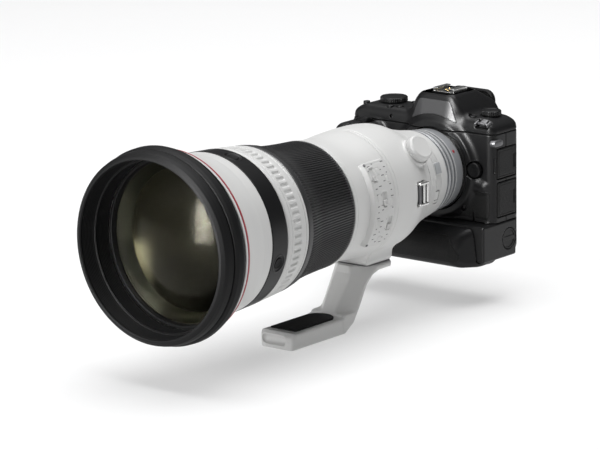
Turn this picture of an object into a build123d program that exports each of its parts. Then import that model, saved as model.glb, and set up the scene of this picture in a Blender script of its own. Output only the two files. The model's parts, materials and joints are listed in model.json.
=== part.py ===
from build123d import *
import math
import os

# Camera body with a long white telephoto lens, standing on the foot of the lens's tripod collar.
# Frame: millimetres, +Z up, the lens points along -Y, the camera body is at +Y.
# Origin: middle of the foot's bottom face. The lens axis is parallel to Y, above the origin.

# ---------------------------------------------------------------- driving dimensions
AXIS_Z = 112.0            # height of the lens axis above the foot's bottom face
LIP_Y = -200.0            # front lip of the lens
FLANGE = 367.0            # lens mount face, measured from the lip along the lens
GAP = 0.3                 # clearance between parts that move past each other

BODY_LEFT, BODY_RIGHT = -90.0, 60.0
BODY_BOTTOM = AXIS_Z - 78.0
COVER_TOP = AXIS_Z + 34.0     # seam between the top cover and the two main covers
HUMP_TOP = AXIS_Z + 62.0
BODY_FRONT = LIP_Y + 371.0
BODY_SEAM = BODY_FRONT + 19.0
BODY_BACK = BODY_FRONT + 39.0
GRIP_FRONT = LIP_Y + 342.0
WALL = 2.5

FOOT_HALF_WIDTH = 18.0
FOOT_FRONT = -46.0
THREAD_3_8_R = 4.76
THREAD_1_4_R = 3.18
THREAD_OFFSET, THREAD_DEPTH = 13.0, 9.0

LENS = Plane(origin=(0, LIP_Y, AXIS_Z), x_dir=(0, 1, 0), z_dir=(1, 0, 0))
LENS_AXIS = Axis((0, 0, AXIS_Z), (0, 1, 0))
os.makedirs("parts", exist_ok=True)


# ---------------------------------------------------------------- helpers
def write(piece, name):
    """Label a finished piece and write its file."""
    piece.part.label = name
    export_step(piece.part, f"parts/{name}.step")


def turned(*outline):
    """A ring about the lens axis; the outline is (distance from the lip, radius)."""
    with BuildPart() as ring:
        with BuildSketch(LENS):
            with BuildLine():
                Polyline(*outline, close=True)
            make_face()
        revolve(axis=LENS_AXIS)
    return ring


def radial(station, angle, radius):
    """A plane on the lens barrel, facing outwards, with its local X along the lens."""
    rise = math.radians(angle)
    out = (math.cos(rise), 0, math.sin(rise))
    place = (radius * out[0], LIP_Y + station, AXIS_Z + radius * out[2])
    return Plane(origin=place, x_dir=(0, 1, 0), z_dir=out)


def facing_front(y):
    """A plane facing -Y: local X is X, local Y is Z."""
    return Plane(origin=(0, y, 0), x_dir=(1, 0, 0), z_dir=(0, -1, 0))


def facing_right(x):
    """A plane facing +X: local X is Y, local Y is Z."""
    return Plane(origin=(x, 0, 0), x_dir=(0, 1, 0), z_dir=(1, 0, 0))


def disc(plane, radius, height, edge=0.6):
    """A flat round button or plate standing on a plane."""
    with BuildPart() as plate:
        with BuildSketch(plane):
            Circle(radius)
        extrude(amount=height)
        fillet(plate.faces().sort_by(Axis(plane.origin, plane.z_dir))[-1].edges(), edge)
    return plate


def slab(plane, centre, size, height, corner=1.0, edge=0.5):
    """A rectangular plate with round corners, standing on a plane."""
    with BuildPart() as plate:
        with BuildSketch(plane):
            with Locations(centre):
                RectangleRounded(size[0], size[1], corner)
        extrude(amount=height)
        if edge:
            fillet(plate.faces().sort_by(Axis(plane.origin, plane.z_dir))[-1].edges(), edge)
    return plate


# ---------------------------------------------------------------- lens: fixed barrel
BAND_FRONT, BAND_BACK = 73.0, 94.0
RING_SEAM, FOCUS_BACK = 123.4, 193.0
TUBE_FRONT_R, TUBE_BACK_R = 57.5, 49.5
COLLAR_FRONT, COLLAR_BACK = 246.0, 306.0
COLLAR_BORE = 48.8
CORE_R = COLLAR_BORE - GAP
REAR_BACK = 338.0

front_ring = turned((0, 71.5), (0.6, 73.5), (2.5, 76), (11, 77.6), (12, 76.8), (14.5, 77), (16, 79.2),
                    (25, 79.4), (29, 77), (31, 75), (31, 69), (18, 69), (17, 70.3), (2, 71))
write(front_ring, "front_ring")

red_ring = turned((31, 74.4), (33.6, 74.2), (33.6, 71), (31, 71))
write(red_ring, "red_ring")

# The white front barrel carries a long inner tube on which the control and focus rings turn.
front_barrel = turned((33.6, 73.8), (48, 69.2), (62, 66), (BAND_FRONT, 65), (BAND_FRONT, TUBE_FRONT_R),
                      (RING_SEAM - 2, TUBE_FRONT_R), (RING_SEAM + 4, TUBE_BACK_R), (FOCUS_BACK + 1, TUBE_BACK_R),
                      (FOCUS_BACK + 1, 47), (RING_SEAM, 47), (RING_SEAM - 4, 55), (70, 55), (58, 63.5),
                      (46, 66.5), (31, 69), (31, 71), (33.6, 71))
write(front_barrel, "front_barrel")

front_element = turned((27, 0), (28.2, 20), (31, 38), (35.6, 55), (38.5, 62), (46, 62), (46.5, 55),
                       (45.5, 30), (45, 0))
write(front_element, "front_element")

element_cell = turned((36, 62.3), (34, 66), (34, 68), (46, 65.8), (50, 63.6), (50, 60), (46.7, 60), (46.7, 62.3))
write(element_cell, "element_cell")

BUTTON_ANGLES = (74, -16, -106, 164)
BUTTON_STATION = 83.5
with BuildPart() as button_band:
    with BuildSketch(LENS):
        with BuildLine():
            Polyline((BAND_FRONT, TUBE_FRONT_R), (BAND_FRONT, 65.2), (BAND_BACK, 64), (BAND_BACK, TUBE_FRONT_R),
                     close=True)
        make_face()
    revolve(axis=LENS_AXIS)
    for angle in BUTTON_ANGLES:
        with BuildSketch(radial(BUTTON_STATION, angle, 60.5)):
            Circle(5.0 + GAP)
        extrude(amount=10, mode=Mode.SUBTRACT)
write(button_band, "button_band")

for number, angle in enumerate(BUTTON_ANGLES, start=1):
    function_button = disc(radial(BUTTON_STATION, angle, 62), 5.0, 3.6)
    write(function_button, f"function_button_{number}")

main_barrel = turned((FOCUS_BACK + 1, 52.9), (214, 51.4), (222, 51.9), (240, 53.2), (COLLAR_FRONT - GAP, 53.4),
                     (COLLAR_FRONT - GAP, CORE_R), (284, CORE_R), (292, 44.5), (COLLAR_BACK + GAP, 40),
                     (COLLAR_BACK + GAP, 38), (290, 42), (282, 46), (FOCUS_BACK + 1, 46))
write(main_barrel, "main_barrel")

# ---------------------------------------------------------------- lens: turning rings
control_ring = turned((BAND_BACK + GAP, TUBE_FRONT_R + GAP), (BAND_BACK + GAP, 63.5), (96.5, 63.9),
                      (121, 61.8), (RING_SEAM - GAP, 61.2), (RING_SEAM - GAP, TUBE_FRONT_R + GAP))
write(control_ring, "control_ring")

focus_ring = turned((RING_SEAM, TUBE_FRONT_R + GAP), (RING_SEAM, 61.2), (131, 60.4), (140, 58.4), (152, 56.2),
                    (172, 54.2), (FOCUS_BACK, 53.2), (FOCUS_BACK, TUBE_BACK_R + GAP),
                    (150, TUBE_BACK_R + GAP), (130, 54.6), (128, TUBE_FRONT_R + GAP))
write(focus_ring, "focus_ring")

# ---------------------------------------------------------------- lens: switch panel on the left side
PANEL_FRONT, PANEL_BACK = 214.0, 244.5
PANEL_R = 56.0
SWITCH_STATIONS = ((222, 28), (229, 6), (236, -16))
with BuildPart() as switch_panel:
    with BuildSketch(LENS):
        with BuildLine():
            Polyline((PANEL_FRONT, 51.5), (PANEL_FRONT + 2, PANEL_R - 0.8), (PANEL_FRONT + 3, PANEL_R),
                     (PANEL_BACK - 2, PANEL_R + 0.6), (PANEL_BACK, PANEL_R - 0.6), (PANEL_BACK, 53.5),
                     (240, 53.2), (222, 51.9), close=True)
        make_face()
    revolve(axis=LENS_AXIS)
    # Only the sector on the left side of the lens is kept.
    with BuildSketch(facing_front(LIP_Y + PANEL_FRONT - 5)):
        with BuildLine():
            Polyline((0, AXIS_Z), (90, AXIS_Z + 84), (-90, AXIS_Z + 90), (-90, AXIS_Z - 90), (90, AXIS_Z - 78),
                     close=True)
        make_face()
    extrude(amount=-(PANEL_BACK - PANEL_FRONT + 10), mode=Mode.SUBTRACT)
    for station, angle in SWITCH_STATIONS:
        with BuildSketch(radial(station, angle, PANEL_R - 1.2)):
            Rectangle(5.4, 12)
        extrude(amount=4, mode=Mode.SUBTRACT)
write(switch_panel, "switch_panel")

SWITCH_TRAVEL = 6.0       # degrees about the lens axis
for number, (station, angle) in enumerate(SWITCH_STATIONS, start=1):
    slider = slab(radial(station, angle - SWITCH_TRAVEL / 2, PANEL_R - 0.9), (0, 0), (4.6, 5), 2.2, 0.8, 0.4)
    write(slider, f"slide_switch_{number}")

# ---------------------------------------------------------------- lens: rear barrel and mount
FILTER_STATION, FILTER_ANGLE, FILTER_R = 322.0, 18.0, 27.5
with BuildPart() as rear_barrel:
    with BuildSketch(LENS):
        with BuildLine():
            Polyline((COLLAR_BACK + GAP, 44.2), (314, 42), (326, 39.3), (REAR_BACK, 37.2), (REAR_BACK, 33),
                     (COLLAR_BACK + GAP, 38), close=True)
        make_face()
    revolve(axis=LENS_AXIS)
    with BuildSketch(radial(FILTER_STATION, FILTER_ANGLE, 0)):
        Rectangle(9 + 2 * GAP, 2 * (FILTER_R + GAP))
    extrude(amount=60, mode=Mode.SUBTRACT)
write(rear_barrel, "rear_barrel")

# The drop-in filter holder: a ring in the light path, a flat stem and a curved cap in the barrel's wall.
with BuildPart() as filter_holder:
    with BuildSketch(LENS):
        with BuildLine():
            Polyline((FILTER_STATION - 4.5, 34.2), (FILTER_STATION - 4.5, 41.4), (FILTER_STATION + 4.5, 39.3),
                     (FILTER_STATION + 4.5, 34.2), close=True)
        make_face()
    revolve(axis=LENS_AXIS)
    with BuildSketch(radial(FILTER_STATION, FILTER_ANGLE, 0)):
        Rectangle(9, 2 * FILTER_R)
    extrude(amount=60, mode=Mode.INTERSECT)
    with BuildSketch(Plane(origin=(0, LIP_Y + FILTER_STATION - 3, AXIS_Z), x_dir=(1, 0, 0), z_dir=(0, 1, 0))):
        Circle(FILTER_R)
    extrude(amount=6)
    with BuildSketch(radial(FILTER_STATION, FILTER_ANGLE, 0)):
        Rectangle(6, 2 * FILTER_R)
    extrude(amount=35)
    with BuildSketch(Plane(origin=(0, LIP_Y + FILTER_STATION - 5, AXIS_Z), x_dir=(1, 0, 0), z_dir=(0, 1, 0))):
        Circle(23.5)
    extrude(amount=10, mode=Mode.SUBTRACT)
    with BuildSketch(radial(FILTER_STATION, FILTER_ANGLE, 40)):
        RectangleRounded(7, 10, 1.2)
    extrude(amount=2.2)
write(filter_holder, "filter_holder")

MOUNT_BACK = FLANGE - 3.0
mount_section = turned((REAR_BACK, 36.9), (345, 36), (352, 35.2), (MOUNT_BACK, 34.4), (MOUNT_BACK, 27),
                       (352, 28), (REAR_BACK, 33))
write(mount_section, "mount_section")

with BuildPart() as lens_mount:
    with BuildSketch(LENS):
        with BuildLine():
            Polyline((MOUNT_BACK, 33), (FLANGE, 33), (FLANGE, 26.6), (FLANGE + 6.5, 26.6), (FLANGE + 6.5, 24),
                     (MOUNT_BACK, 24), close=True)
        make_face()
    revolve(axis=LENS_AXIS)
write(lens_mount, "lens_mount")

with BuildPart() as lens_contacts:
    with BuildSketch(Plane(origin=(0, LIP_Y + FLANGE + 1, AXIS_Z), x_dir=(1, 0, 0), z_dir=(0, 1, 0))):
        with PolarLocations(22, 12, start_angle=232, angular_range=76):
            Circle(1.0)
    extrude(amount=4)
write(lens_contacts, "lens_contacts")

iris_unit = turned((205, 45.9), (214, 45.9), (214, 20), (212, 20), (212, 43), (207, 43), (207, 20), (205, 20))
write(iris_unit, "iris_unit")

stabiliser_unit = turned((252, 45.9), (266, 45.9), (266, 30.3), (252, 30.3))
write(stabiliser_unit, "stabiliser_unit")

# Glass groups deeper in the lens, one solid for each.
with BuildPart() as inner_glass:
    for front, back, bulge, radius in ((56, 64, 4, 54.9), (128, 136, 3, 46.9), (254, 264, 2, 30.2), (344, 350, 2, 24)):
        with BuildSketch(LENS):
            with BuildLine():
                Polyline((front - bulge, 0), (front, radius), (back, radius), (back + bulge / 2, 0), close=True)
            make_face()
        revolve(axis=LENS_AXIS)
write(inner_glass, "inner_glass")

focus_motor = turned((142, 46.9), (168, 46.9), (168, 38), (142, 38))
write(focus_motor, "focus_motor")

# ---------------------------------------------------------------- tripod collar, foot and lock knob
KNOB_STATION, KNOB_ANGLE, KNOB_R = 290.0, 39.0, 11.5
FOOT_TOP = AXIS_Z - 60.0
LUG_STATION, LUG_ANGLES, LUG_SEAT = 283.0, (-2, 182), 49.5
with BuildPart() as collar_ring:
    with BuildSketch(LENS):
        with BuildLine():
            Polyline((COLLAR_FRONT, 53.4), (255, 53.7), (270, 53.6), (283, 52.6), (291, 50), (302, 45.8),
                     (COLLAR_BACK, 44.3), (COLLAR_BACK, 30), (COLLAR_FRONT, 30), close=True)
        make_face()
    revolve(axis=LENS_AXIS)
    # Seat for the lock knob.
    with BuildSketch(radial(KNOB_STATION, KNOB_ANGLE, 40)):
        Circle(KNOB_R)
    extrude(amount=13.1)
    # Block under the ring that the foot bolts to.
    with BuildSketch(Plane.XY.offset(FOOT_TOP)):
        with Locations((0, LIP_Y + 265.5)):
            RectangleRounded(44, 37, 5)
    extrude(amount=24)
    # Bore in which the lens turns.
    with BuildSketch(LENS):
        with BuildLine():
            Polyline((COLLAR_FRONT - 1, 0), (COLLAR_FRONT - 1, COLLAR_BORE), (284.4, COLLAR_BORE), (292, 44.9),
                     (COLLAR_BACK, 40.4), (COLLAR_BACK + 1, 40.1), (COLLAR_BACK + 1, 0), close=True)
        make_face()
    revolve(axis=LENS_AXIS, mode=Mode.SUBTRACT)
    with BuildSketch(radial(KNOB_STATION, KNOB_ANGLE, 49)):
        Circle(3.05)
    extrude(amount=10, mode=Mode.SUBTRACT)
    for angle in LUG_ANGLES:
        with BuildSketch(radial(LUG_STATION, angle, LUG_SEAT)):
            RectangleRounded(13, 20, 1.5)
        extrude(amount=10, mode=Mode.SUBTRACT)
write(collar_ring, "collar_ring")

with BuildPart() as lock_knob:
    with BuildSketch(radial(KNOB_STATION, KNOB_ANGLE, 53.4)):
        Circle(KNOB_R)
    extrude(amount=7)
    fillet(lock_knob.faces().sort_by(Axis((0, 0, 0), (math.cos(math.radians(KNOB_ANGLE)), 0,
                                                      math.sin(math.radians(KNOB_ANGLE)))))[-1].edges(), 1.5)
    with BuildSketch(radial(KNOB_STATION, KNOB_ANGLE, 49.3)):
        Circle(3.0)
    extrude(amount=5)
write(lock_knob, "lock_knob")

# Metal strap lugs on both sides of the collar, each a plate with two bars.
with BuildPart() as strap_lugs:
    for angle in LUG_ANGLES:
        with BuildSketch(radial(LUG_STATION, angle, LUG_SEAT)):
            RectangleRounded(13, 20, 1.5)
        extrude(amount=4.6)
        with BuildSketch(radial(LUG_STATION, angle, 54)):
            with Locations((-3, 0), (3, 0)):
                RectangleRounded(3, 18, 1.2)
        extrude(amount=2.5)
write(strap_lugs, "strap_lugs")

PAD_THICK = 1.5
ARM_TOP = 14.0
with BuildPart() as foot:
    with BuildSketch(facing_right(-FOOT_HALF_WIDTH)):
        with BuildLine():
            Polyline((FOOT_FRONT, 0), (24, 0), (36, 7), (45, 20), (58, 42), (66, 45), (82, 46), (82, FOOT_TOP),
                     (43, FOOT_TOP), (42, 46), (20, ARM_TOP), (FOOT_FRONT + 3, ARM_TOP), (FOOT_FRONT, ARM_TOP - 4),
                     close=True)
        make_face()
    extrude(amount=2 * FOOT_HALF_WIDTH)
    fillet(foot.edges().filter_by(Axis.X).group_by(Axis.Z)[0], 1.2)
    fillet(foot.edges().filter_by(Axis.Z).group_by(Axis.Y)[0], 8)
    # Threaded sockets for a tripod head.
    with Locations(Plane(origin=(0, 0, 0), z_dir=(0, 0, -1))):
        with Locations((0, THREAD_OFFSET)):
            Hole(THREAD_3_8_R, depth=THREAD_DEPTH)
        with Locations((0, -THREAD_OFFSET)):
            Hole(THREAD_1_4_R, depth=THREAD_DEPTH)
write(foot, "foot")

with BuildPart() as foot_pad:
    with BuildSketch(Plane.XY.offset(ARM_TOP)):
        with Locations((0, -10)):
            RectangleRounded(26, 56, 5)
    extrude(amount=PAD_THICK)
write(foot_pad, "foot_pad")

# ---------------------------------------------------------------- camera body: covers
CORNER_R = 7.0
GRIP_LEFT, GRIP_RIGHT = BODY_LEFT, -52.0
GRIP_TOP = AXIS_Z + 33.0
LOW_GRIP_TOP = AXIS_Z - 42.0
LOW_GRIP_CUT = 14.0       # slanted end of the lower grip
THROAT_R = 35.2
BATTERY_Y, BATTERY_Z = (GRIP_FRONT + LOW_GRIP_CUT + 1, BODY_BACK - 5), (BODY_BOTTOM + 4, BODY_BOTTOM + 36)
DOOR_Y, DOOR_Z = (BODY_SEAM - 12, BODY_BACK - 5), (AXIS_Z - 26, AXIS_Z + 22)
PORT_Y = (BODY_SEAM - 13, BODY_BACK - 5)
PORTS_Z = ((AXIS_Z - 38, AXIS_Z - 7), (AXIS_Z - 5, AXIS_Z + 22))
PANEL_DEPTH = 2.2
FRONT_DIAL_PLACE = (GRIP_FRONT + 21.2, GRIP_TOP - 3)


def cover_block(front, back, inset=0.0):
    """The body's outline seen from the front, between two planes along Y."""
    left, right = BODY_LEFT + inset, BODY_RIGHT - inset
    low = BODY_BOTTOM + inset
    with BuildPart() as block:
        with BuildSketch(facing_front(back)):
            with BuildLine():
                Polyline((left, low + 9), (left + 9, low), (right - 9, low), (right, low + 9),
                         (right, COVER_TOP), (left, COVER_TOP), close=True)
            make_face()
            fillet(vertices().group_by(Axis.Y)[0], CORNER_R)
            fillet(vertices().group_by(Axis.Y)[-2], CORNER_R)
        extrude(amount=back - front)
    return block.part


def box_between(x, y, z):
    """A box from its lowest to its highest corner."""
    size = (x[1] - x[0], y[1] - y[0], z[1] - z[0])
    centre = ((x[0] + x[1]) / 2, (y[0] + y[1]) / 2, (z[0] + z[1]) / 2)
    return Pos(*centre) * Box(*size, mode=Mode.PRIVATE)


SIDE_POCKETS = [box_between((BODY_LEFT - 1, BODY_LEFT + PANEL_DEPTH + GAP), DOOR_Y, DOOR_Z)]
for span in PORTS_Z:
    SIDE_POCKETS.append(box_between((BODY_RIGHT - PANEL_DEPTH - GAP, BODY_RIGHT + 1), PORT_Y, span))
BATTERY_WAY = box_between((BODY_RIGHT - 12, BODY_RIGHT + 1), BATTERY_Y, BATTERY_Z)

with BuildPart() as front_cover:
    add(cover_block(BODY_FRONT, BODY_SEAM))
    # Low ring around the lens mount.
    with BuildSketch(facing_front(BODY_FRONT)):
        with Locations((0, AXIS_Z)):
            Circle(46)
    extrude(amount=3, taper=60)
    # Upright grip.
    with BuildSketch(Plane.XY.offset(BODY_BOTTOM)):
        with BuildLine():
            Polyline((GRIP_LEFT, BODY_FRONT + 6), (GRIP_LEFT, GRIP_FRONT + 10), (GRIP_LEFT + 9, GRIP_FRONT),
                     (GRIP_RIGHT - 14, GRIP_FRONT), (GRIP_RIGHT - 4, GRIP_FRONT + 8), (GRIP_RIGHT, BODY_FRONT + 6),
                     close=True)
        make_face()
        fillet(vertices().group_by(Axis.Y)[0], 6)
    extrude(amount=GRIP_TOP - BODY_BOTTOM)
    # Lower grip, used when the camera is turned on end.
    with BuildSketch(facing_right(GRIP_LEFT + 12)):
        with BuildLine():
            Polyline((BODY_FRONT + 6, BODY_BOTTOM + 0.2), (GRIP_FRONT + 6, BODY_BOTTOM + 0.2),
                     (GRIP_FRONT + 0.5, BODY_BOTTOM + 7), (GRIP_FRONT + 0.5, LOW_GRIP_TOP - 14),
                     (GRIP_FRONT + 10, LOW_GRIP_TOP - 3), (BODY_FRONT + 6, LOW_GRIP_TOP), close=True)
        make_face()
    extrude(amount=BODY_RIGHT - GRIP_LEFT - 12)
    with BuildSketch(Plane.XY.offset(BODY_BOTTOM - 1)):
        with BuildLine():
            Polyline((BODY_RIGHT - LOW_GRIP_CUT, GRIP_FRONT - 1), (BODY_RIGHT + 1, GRIP_FRONT - 1),
                     (BODY_RIGHT + 1, GRIP_FRONT + LOW_GRIP_CUT), close=True)
        make_face()
    extrude(amount=50, mode=Mode.SUBTRACT)
    # Hollow inside.
    add(cover_block(BODY_FRONT + WALL, BODY_SEAM + 1, WALL), mode=Mode.SUBTRACT)
    add(box_between((GRIP_LEFT + WALL, GRIP_RIGHT - 8), (GRIP_FRONT + 11, BODY_FRONT + 5),
                    (BODY_BOTTOM + 6, GRIP_TOP - 8)), mode=Mode.SUBTRACT)
    add(box_between((GRIP_LEFT + WALL, BODY_RIGHT + 1), (BATTERY_Y[0], BODY_SEAM + 1), BATTERY_Z), mode=Mode.SUBTRACT)
    with BuildSketch(facing_front(BODY_FRONT + 10)):
        with Locations((0, AXIS_Z)):
            Circle(THROAT_R)
    extrude(amount=20, mode=Mode.SUBTRACT)
    for pocket in SIDE_POCKETS:
        add(pocket, mode=Mode.SUBTRACT)
    # Tripod socket in the bottom.
    with Locations(Plane(origin=(0, GRIP_FRONT + 18, BODY_BOTTOM + 0.2), z_dir=(0, 0, -1))):
        Hole(THREAD_1_4_R, depth=3.5)
    # Wells for the shutter buttons, the front dial and the lens release button.
    with BuildSketch(Plane.XY.offset(GRIP_TOP - 6)):
        with Locations((-70, GRIP_FRONT + 8)):
            Circle(5.5 + GAP)
    extrude(amount=8, mode=Mode.SUBTRACT)
    with BuildSketch(facing_right(GRIP_LEFT - 1)):
        with Locations((GRIP_FRONT + 14, BODY_BOTTOM + 14)):
            Circle(5.0 + GAP)
    extrude(amount=6, mode=Mode.SUBTRACT)
    with BuildSketch(facing_front(BODY_FRONT + 3)):
        with Locations((42, AXIS_Z + 3)):
            Circle(6.5 + GAP)
    extrude(amount=6, mode=Mode.SUBTRACT)
    with BuildSketch(facing_right(-76)):
        with Locations(FRONT_DIAL_PLACE):
            Circle(7.4)
    extrude(amount=12, mode=Mode.SUBTRACT)
write(front_cover, "front_cover")

with BuildPart() as rear_cover:
    add(cover_block(BODY_SEAM, BODY_BACK))
    fillet(rear_cover.faces().sort_by(Axis.Y)[-1].edges().filter_by(Axis.X), 3)
    add(cover_block(BODY_SEAM - 1, BODY_BACK - WALL, WALL), mode=Mode.SUBTRACT)
    add(BATTERY_WAY, mode=Mode.SUBTRACT)
    for pocket in SIDE_POCKETS:
        add(pocket, mode=Mode.SUBTRACT)
    # Wells in the back for buttons, and holes for the dial's and the lever's pins.
    with BuildSketch(facing_front(BODY_BACK + 1)):
        with Locations((-60, AXIS_Z + 24), (-60, AXIS_Z - 2)):
            Circle(4.5 + GAP)
        with Locations((-64, AXIS_Z - 24), (-70, AXIS_Z - 55)):
            Circle(3.05)
    extrude(amount=4, mode=Mode.SUBTRACT)
write(rear_cover, "rear_cover")

# ---------------------------------------------------------------- camera body: top cover with viewfinder hump
with BuildPart() as top_cover:
    with BuildSketch(facing_front(BODY_BACK)):
        with BuildLine():
            Polyline((BODY_LEFT, COVER_TOP), (BODY_RIGHT, COVER_TOP), (BODY_RIGHT - 4, COVER_TOP + 5),
                     (52, COVER_TOP + 11), (32, COVER_TOP + 12), (24, HUMP_TOP - 6), (18, HUMP_TOP),
                     (-18, HUMP_TOP), (-24, HUMP_TOP - 6), (-32, COVER_TOP + 12), (-80, COVER_TOP + 12),
                     (BODY_LEFT, COVER_TOP + 5), close=True)
        make_face()
    extrude(amount=BODY_BACK - BODY_FRONT)
    # Eyepiece tube behind the hump.
    with BuildSketch(facing_front(BODY_BACK + 12)):
        with Locations((0, AXIS_Z + 47)):
            RectangleRounded(42, 26, 6)
    extrude(amount=14)
    chamfer(top_cover.faces().sort_by(Axis.Y)[0].edges().group_by(Axis.Z)[-1], 6)
    with BuildSketch(facing_front(BODY_BACK - WALL)):
        with BuildLine():
            Polyline((BODY_LEFT + WALL, COVER_TOP - 1), (BODY_RIGHT - WALL, COVER_TOP - 1),
                     (BODY_RIGHT - 8, COVER_TOP + 3), (50, COVER_TOP + 8), (30, COVER_TOP + 9), (20, HUMP_TOP - 5),
                     (-20, HUMP_TOP - 5), (-30, COVER_TOP + 9), (-78, COVER_TOP + 9),
                     (BODY_LEFT + 5, COVER_TOP + 3), close=True)
        make_face()
    extrude(amount=BODY_BACK - BODY_FRONT - 2 * WALL, mode=Mode.SUBTRACT)
    with BuildSketch(facing_front(BODY_BACK + 13)):
        with Locations((0, AXIS_Z + 47)):
            RectangleRounded(30, 18, 4)
    extrude(amount=18, mode=Mode.SUBTRACT)
    with BuildSketch(facing_front(BODY_FRONT + 10)):
        with Locations((0, AXIS_Z)):
            Circle(THROAT_R)
    extrude(amount=12, mode=Mode.SUBTRACT)
    with BuildSketch(Plane.XY.offset(COVER_TOP + 6)):
        with Locations((-62, BODY_BACK - 15), (42, BODY_BACK - 16)):
            Circle(3.05)
    extrude(amount=14, mode=Mode.SUBTRACT)
write(top_cover, "top_cover")

# Hot shoe: a channel between two rails on top of the hump.
SHOE_Y = (BODY_FRONT + 12, BODY_FRONT + 31)
SHOE_HALF, SHOE_SLOT_HALF, SHOE_MOUTH_HALF = 11.0, 9.3, 6.3
with BuildPart() as hot_shoe:
    with BuildSketch(facing_front(SHOE_Y[1])):
        with BuildLine():
            Polyline((-SHOE_HALF, HUMP_TOP), (SHOE_HALF, HUMP_TOP), (SHOE_HALF, HUMP_TOP + 4.2),
                     (SHOE_MOUTH_HALF, HUMP_TOP + 4.2), (SHOE_MOUTH_HALF, HUMP_TOP + 3.2),
                     (SHOE_SLOT_HALF, HUMP_TOP + 3.2), (SHOE_SLOT_HALF, HUMP_TOP + 1.1),
                     (-SHOE_SLOT_HALF, HUMP_TOP + 1.1), (-SHOE_SLOT_HALF, HUMP_TOP + 3.2),
                     (-SHOE_MOUTH_HALF, HUMP_TOP + 3.2), (-SHOE_MOUTH_HALF, HUMP_TOP + 4.2),
                     (-SHOE_HALF, HUMP_TOP + 4.2), close=True)
        make_face()
    extrude(amount=SHOE_Y[1] - SHOE_Y[0])
write(hot_shoe, "hot_shoe")

with BuildPart() as eyecup:
    with BuildSketch(facing_front(BODY_BACK + 17)):
        with Locations((0, AXIS_Z + 46)):
            RectangleRounded(48, 30, 9)
            RectangleRounded(32, 20, 5, mode=Mode.SUBTRACT)
    extrude(amount=5)
write(eyecup, "eyecup")

with BuildPart() as viewfinder_unit:
    with BuildSketch(facing_front(BODY_BACK + 9)):
        with Locations((0, AXIS_Z + 47)):
            RectangleRounded(29.6, 17.6, 3.8)
    extrude(amount=24)
write(viewfinder_unit, "viewfinder_unit")

# ---------------------------------------------------------------- camera body: mount and inside
body_mount = turned((FLANGE, 27), (FLANGE, 35), (BODY_FRONT - LIP_Y + 4, 35), (BODY_FRONT - LIP_Y + 4, 27))
write(body_mount, "body_mount")

CHASSIS_Y = BODY_SEAM - 3
with BuildPart() as chassis:
    with BuildSketch(facing_front(CHASSIS_Y)):
        with BuildLine():
            Polyline((-50, AXIS_Z - 36), (50, AXIS_Z - 36), (50, COVER_TOP - 2), (-50, COVER_TOP - 2), close=True)
        make_face()
        with Locations((0, AXIS_Z)):
            Rectangle(38, 26, mode=Mode.SUBTRACT)
    extrude(amount=3)
    with BuildSketch(facing_front(CHASSIS_Y - 3)):
        with Locations((0, AXIS_Z)):
            Circle(34)
            Circle(28, mode=Mode.SUBTRACT)
    extrude(amount=CHASSIS_Y - 3 - BODY_FRONT - 4)
write(chassis, "chassis")

with BuildPart() as shutter_unit:
    with BuildSketch(facing_front(CHASSIS_Y + 4)):
        with Locations((0, AXIS_Z)):
            Rectangle(72, 52)
            Rectangle(37, 25, mode=Mode.SUBTRACT)
    extrude(amount=4)
write(shutter_unit, "shutter_unit")

with BuildPart() as sensor_unit:
    with BuildSketch(facing_front(CHASSIS_Y + 8)):
        with Locations((0, AXIS_Z)):
            Rectangle(56, 44)
    extrude(amount=4)
write(sensor_unit, "sensor_unit")

with BuildPart() as main_board:
    with BuildSketch(facing_front(CHASSIS_Y + 12)):
        with Locations((0, AXIS_Z)):
            Rectangle(96, 62)
    extrude(amount=1.6)
write(main_board, "main_board")

# ---------------------------------------------------------------- camera body: battery and doors
BATTERY_IN_Y = (BATTERY_Y[0] + GAP, BATTERY_Y[1] - GAP)
BATTERY_IN_Z = (BATTERY_Z[0] + GAP, BATTERY_Z[1] - GAP)
KNOB_PLACE = (BODY_SEAM + 4, (BATTERY_Z[0] + BATTERY_Z[1]) / 2)
# The battery's end cap is part of the body's side and holds a fold-out latch knob.
with BuildPart() as battery:
    add(box_between((BODY_RIGHT - 93, BODY_RIGHT), BATTERY_IN_Y, BATTERY_IN_Z))
    fillet(battery.edges().filter_by(Axis.X), 2)
    with BuildSketch(facing_right(BODY_RIGHT - 2.2)):
        with Locations(KNOB_PLACE):
            Circle(9 + GAP)
    extrude(amount=4, mode=Mode.SUBTRACT)
    with BuildSketch(facing_right(BODY_RIGHT - 5)):
        with Locations(KNOB_PLACE):
            Circle(2.05)
    extrude(amount=6, mode=Mode.SUBTRACT)
write(battery, "battery")

with BuildPart() as battery_knob:
    with BuildSketch(facing_right(BODY_RIGHT - 1.9)):
        with Locations(KNOB_PLACE):
            Circle(9)
    extrude(amount=1.7)
    with BuildSketch(facing_right(BODY_RIGHT - 2.9)):
        with Locations(KNOB_PLACE):
            Circle(2)
    extrude(amount=1.5)
write(battery_knob, "battery_knob")


def side_door(x, y, z):
    """A flush door on the body's side."""
    with BuildPart() as door:
        add(box_between(x, (y[0] + GAP, y[1] - GAP), (z[0] + GAP, z[1] - GAP)))
        fillet(door.edges().filter_by(Axis.X), 2)
    return door


card_door = side_door((BODY_LEFT, BODY_LEFT + PANEL_DEPTH), DOOR_Y, DOOR_Z)
write(card_door, "card_door")
for number, span in enumerate(PORTS_Z, start=1):
    port_cover = side_door((BODY_RIGHT - PANEL_DEPTH, BODY_RIGHT), PORT_Y, span)
    write(port_cover, f"port_cover_{number}")

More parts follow.
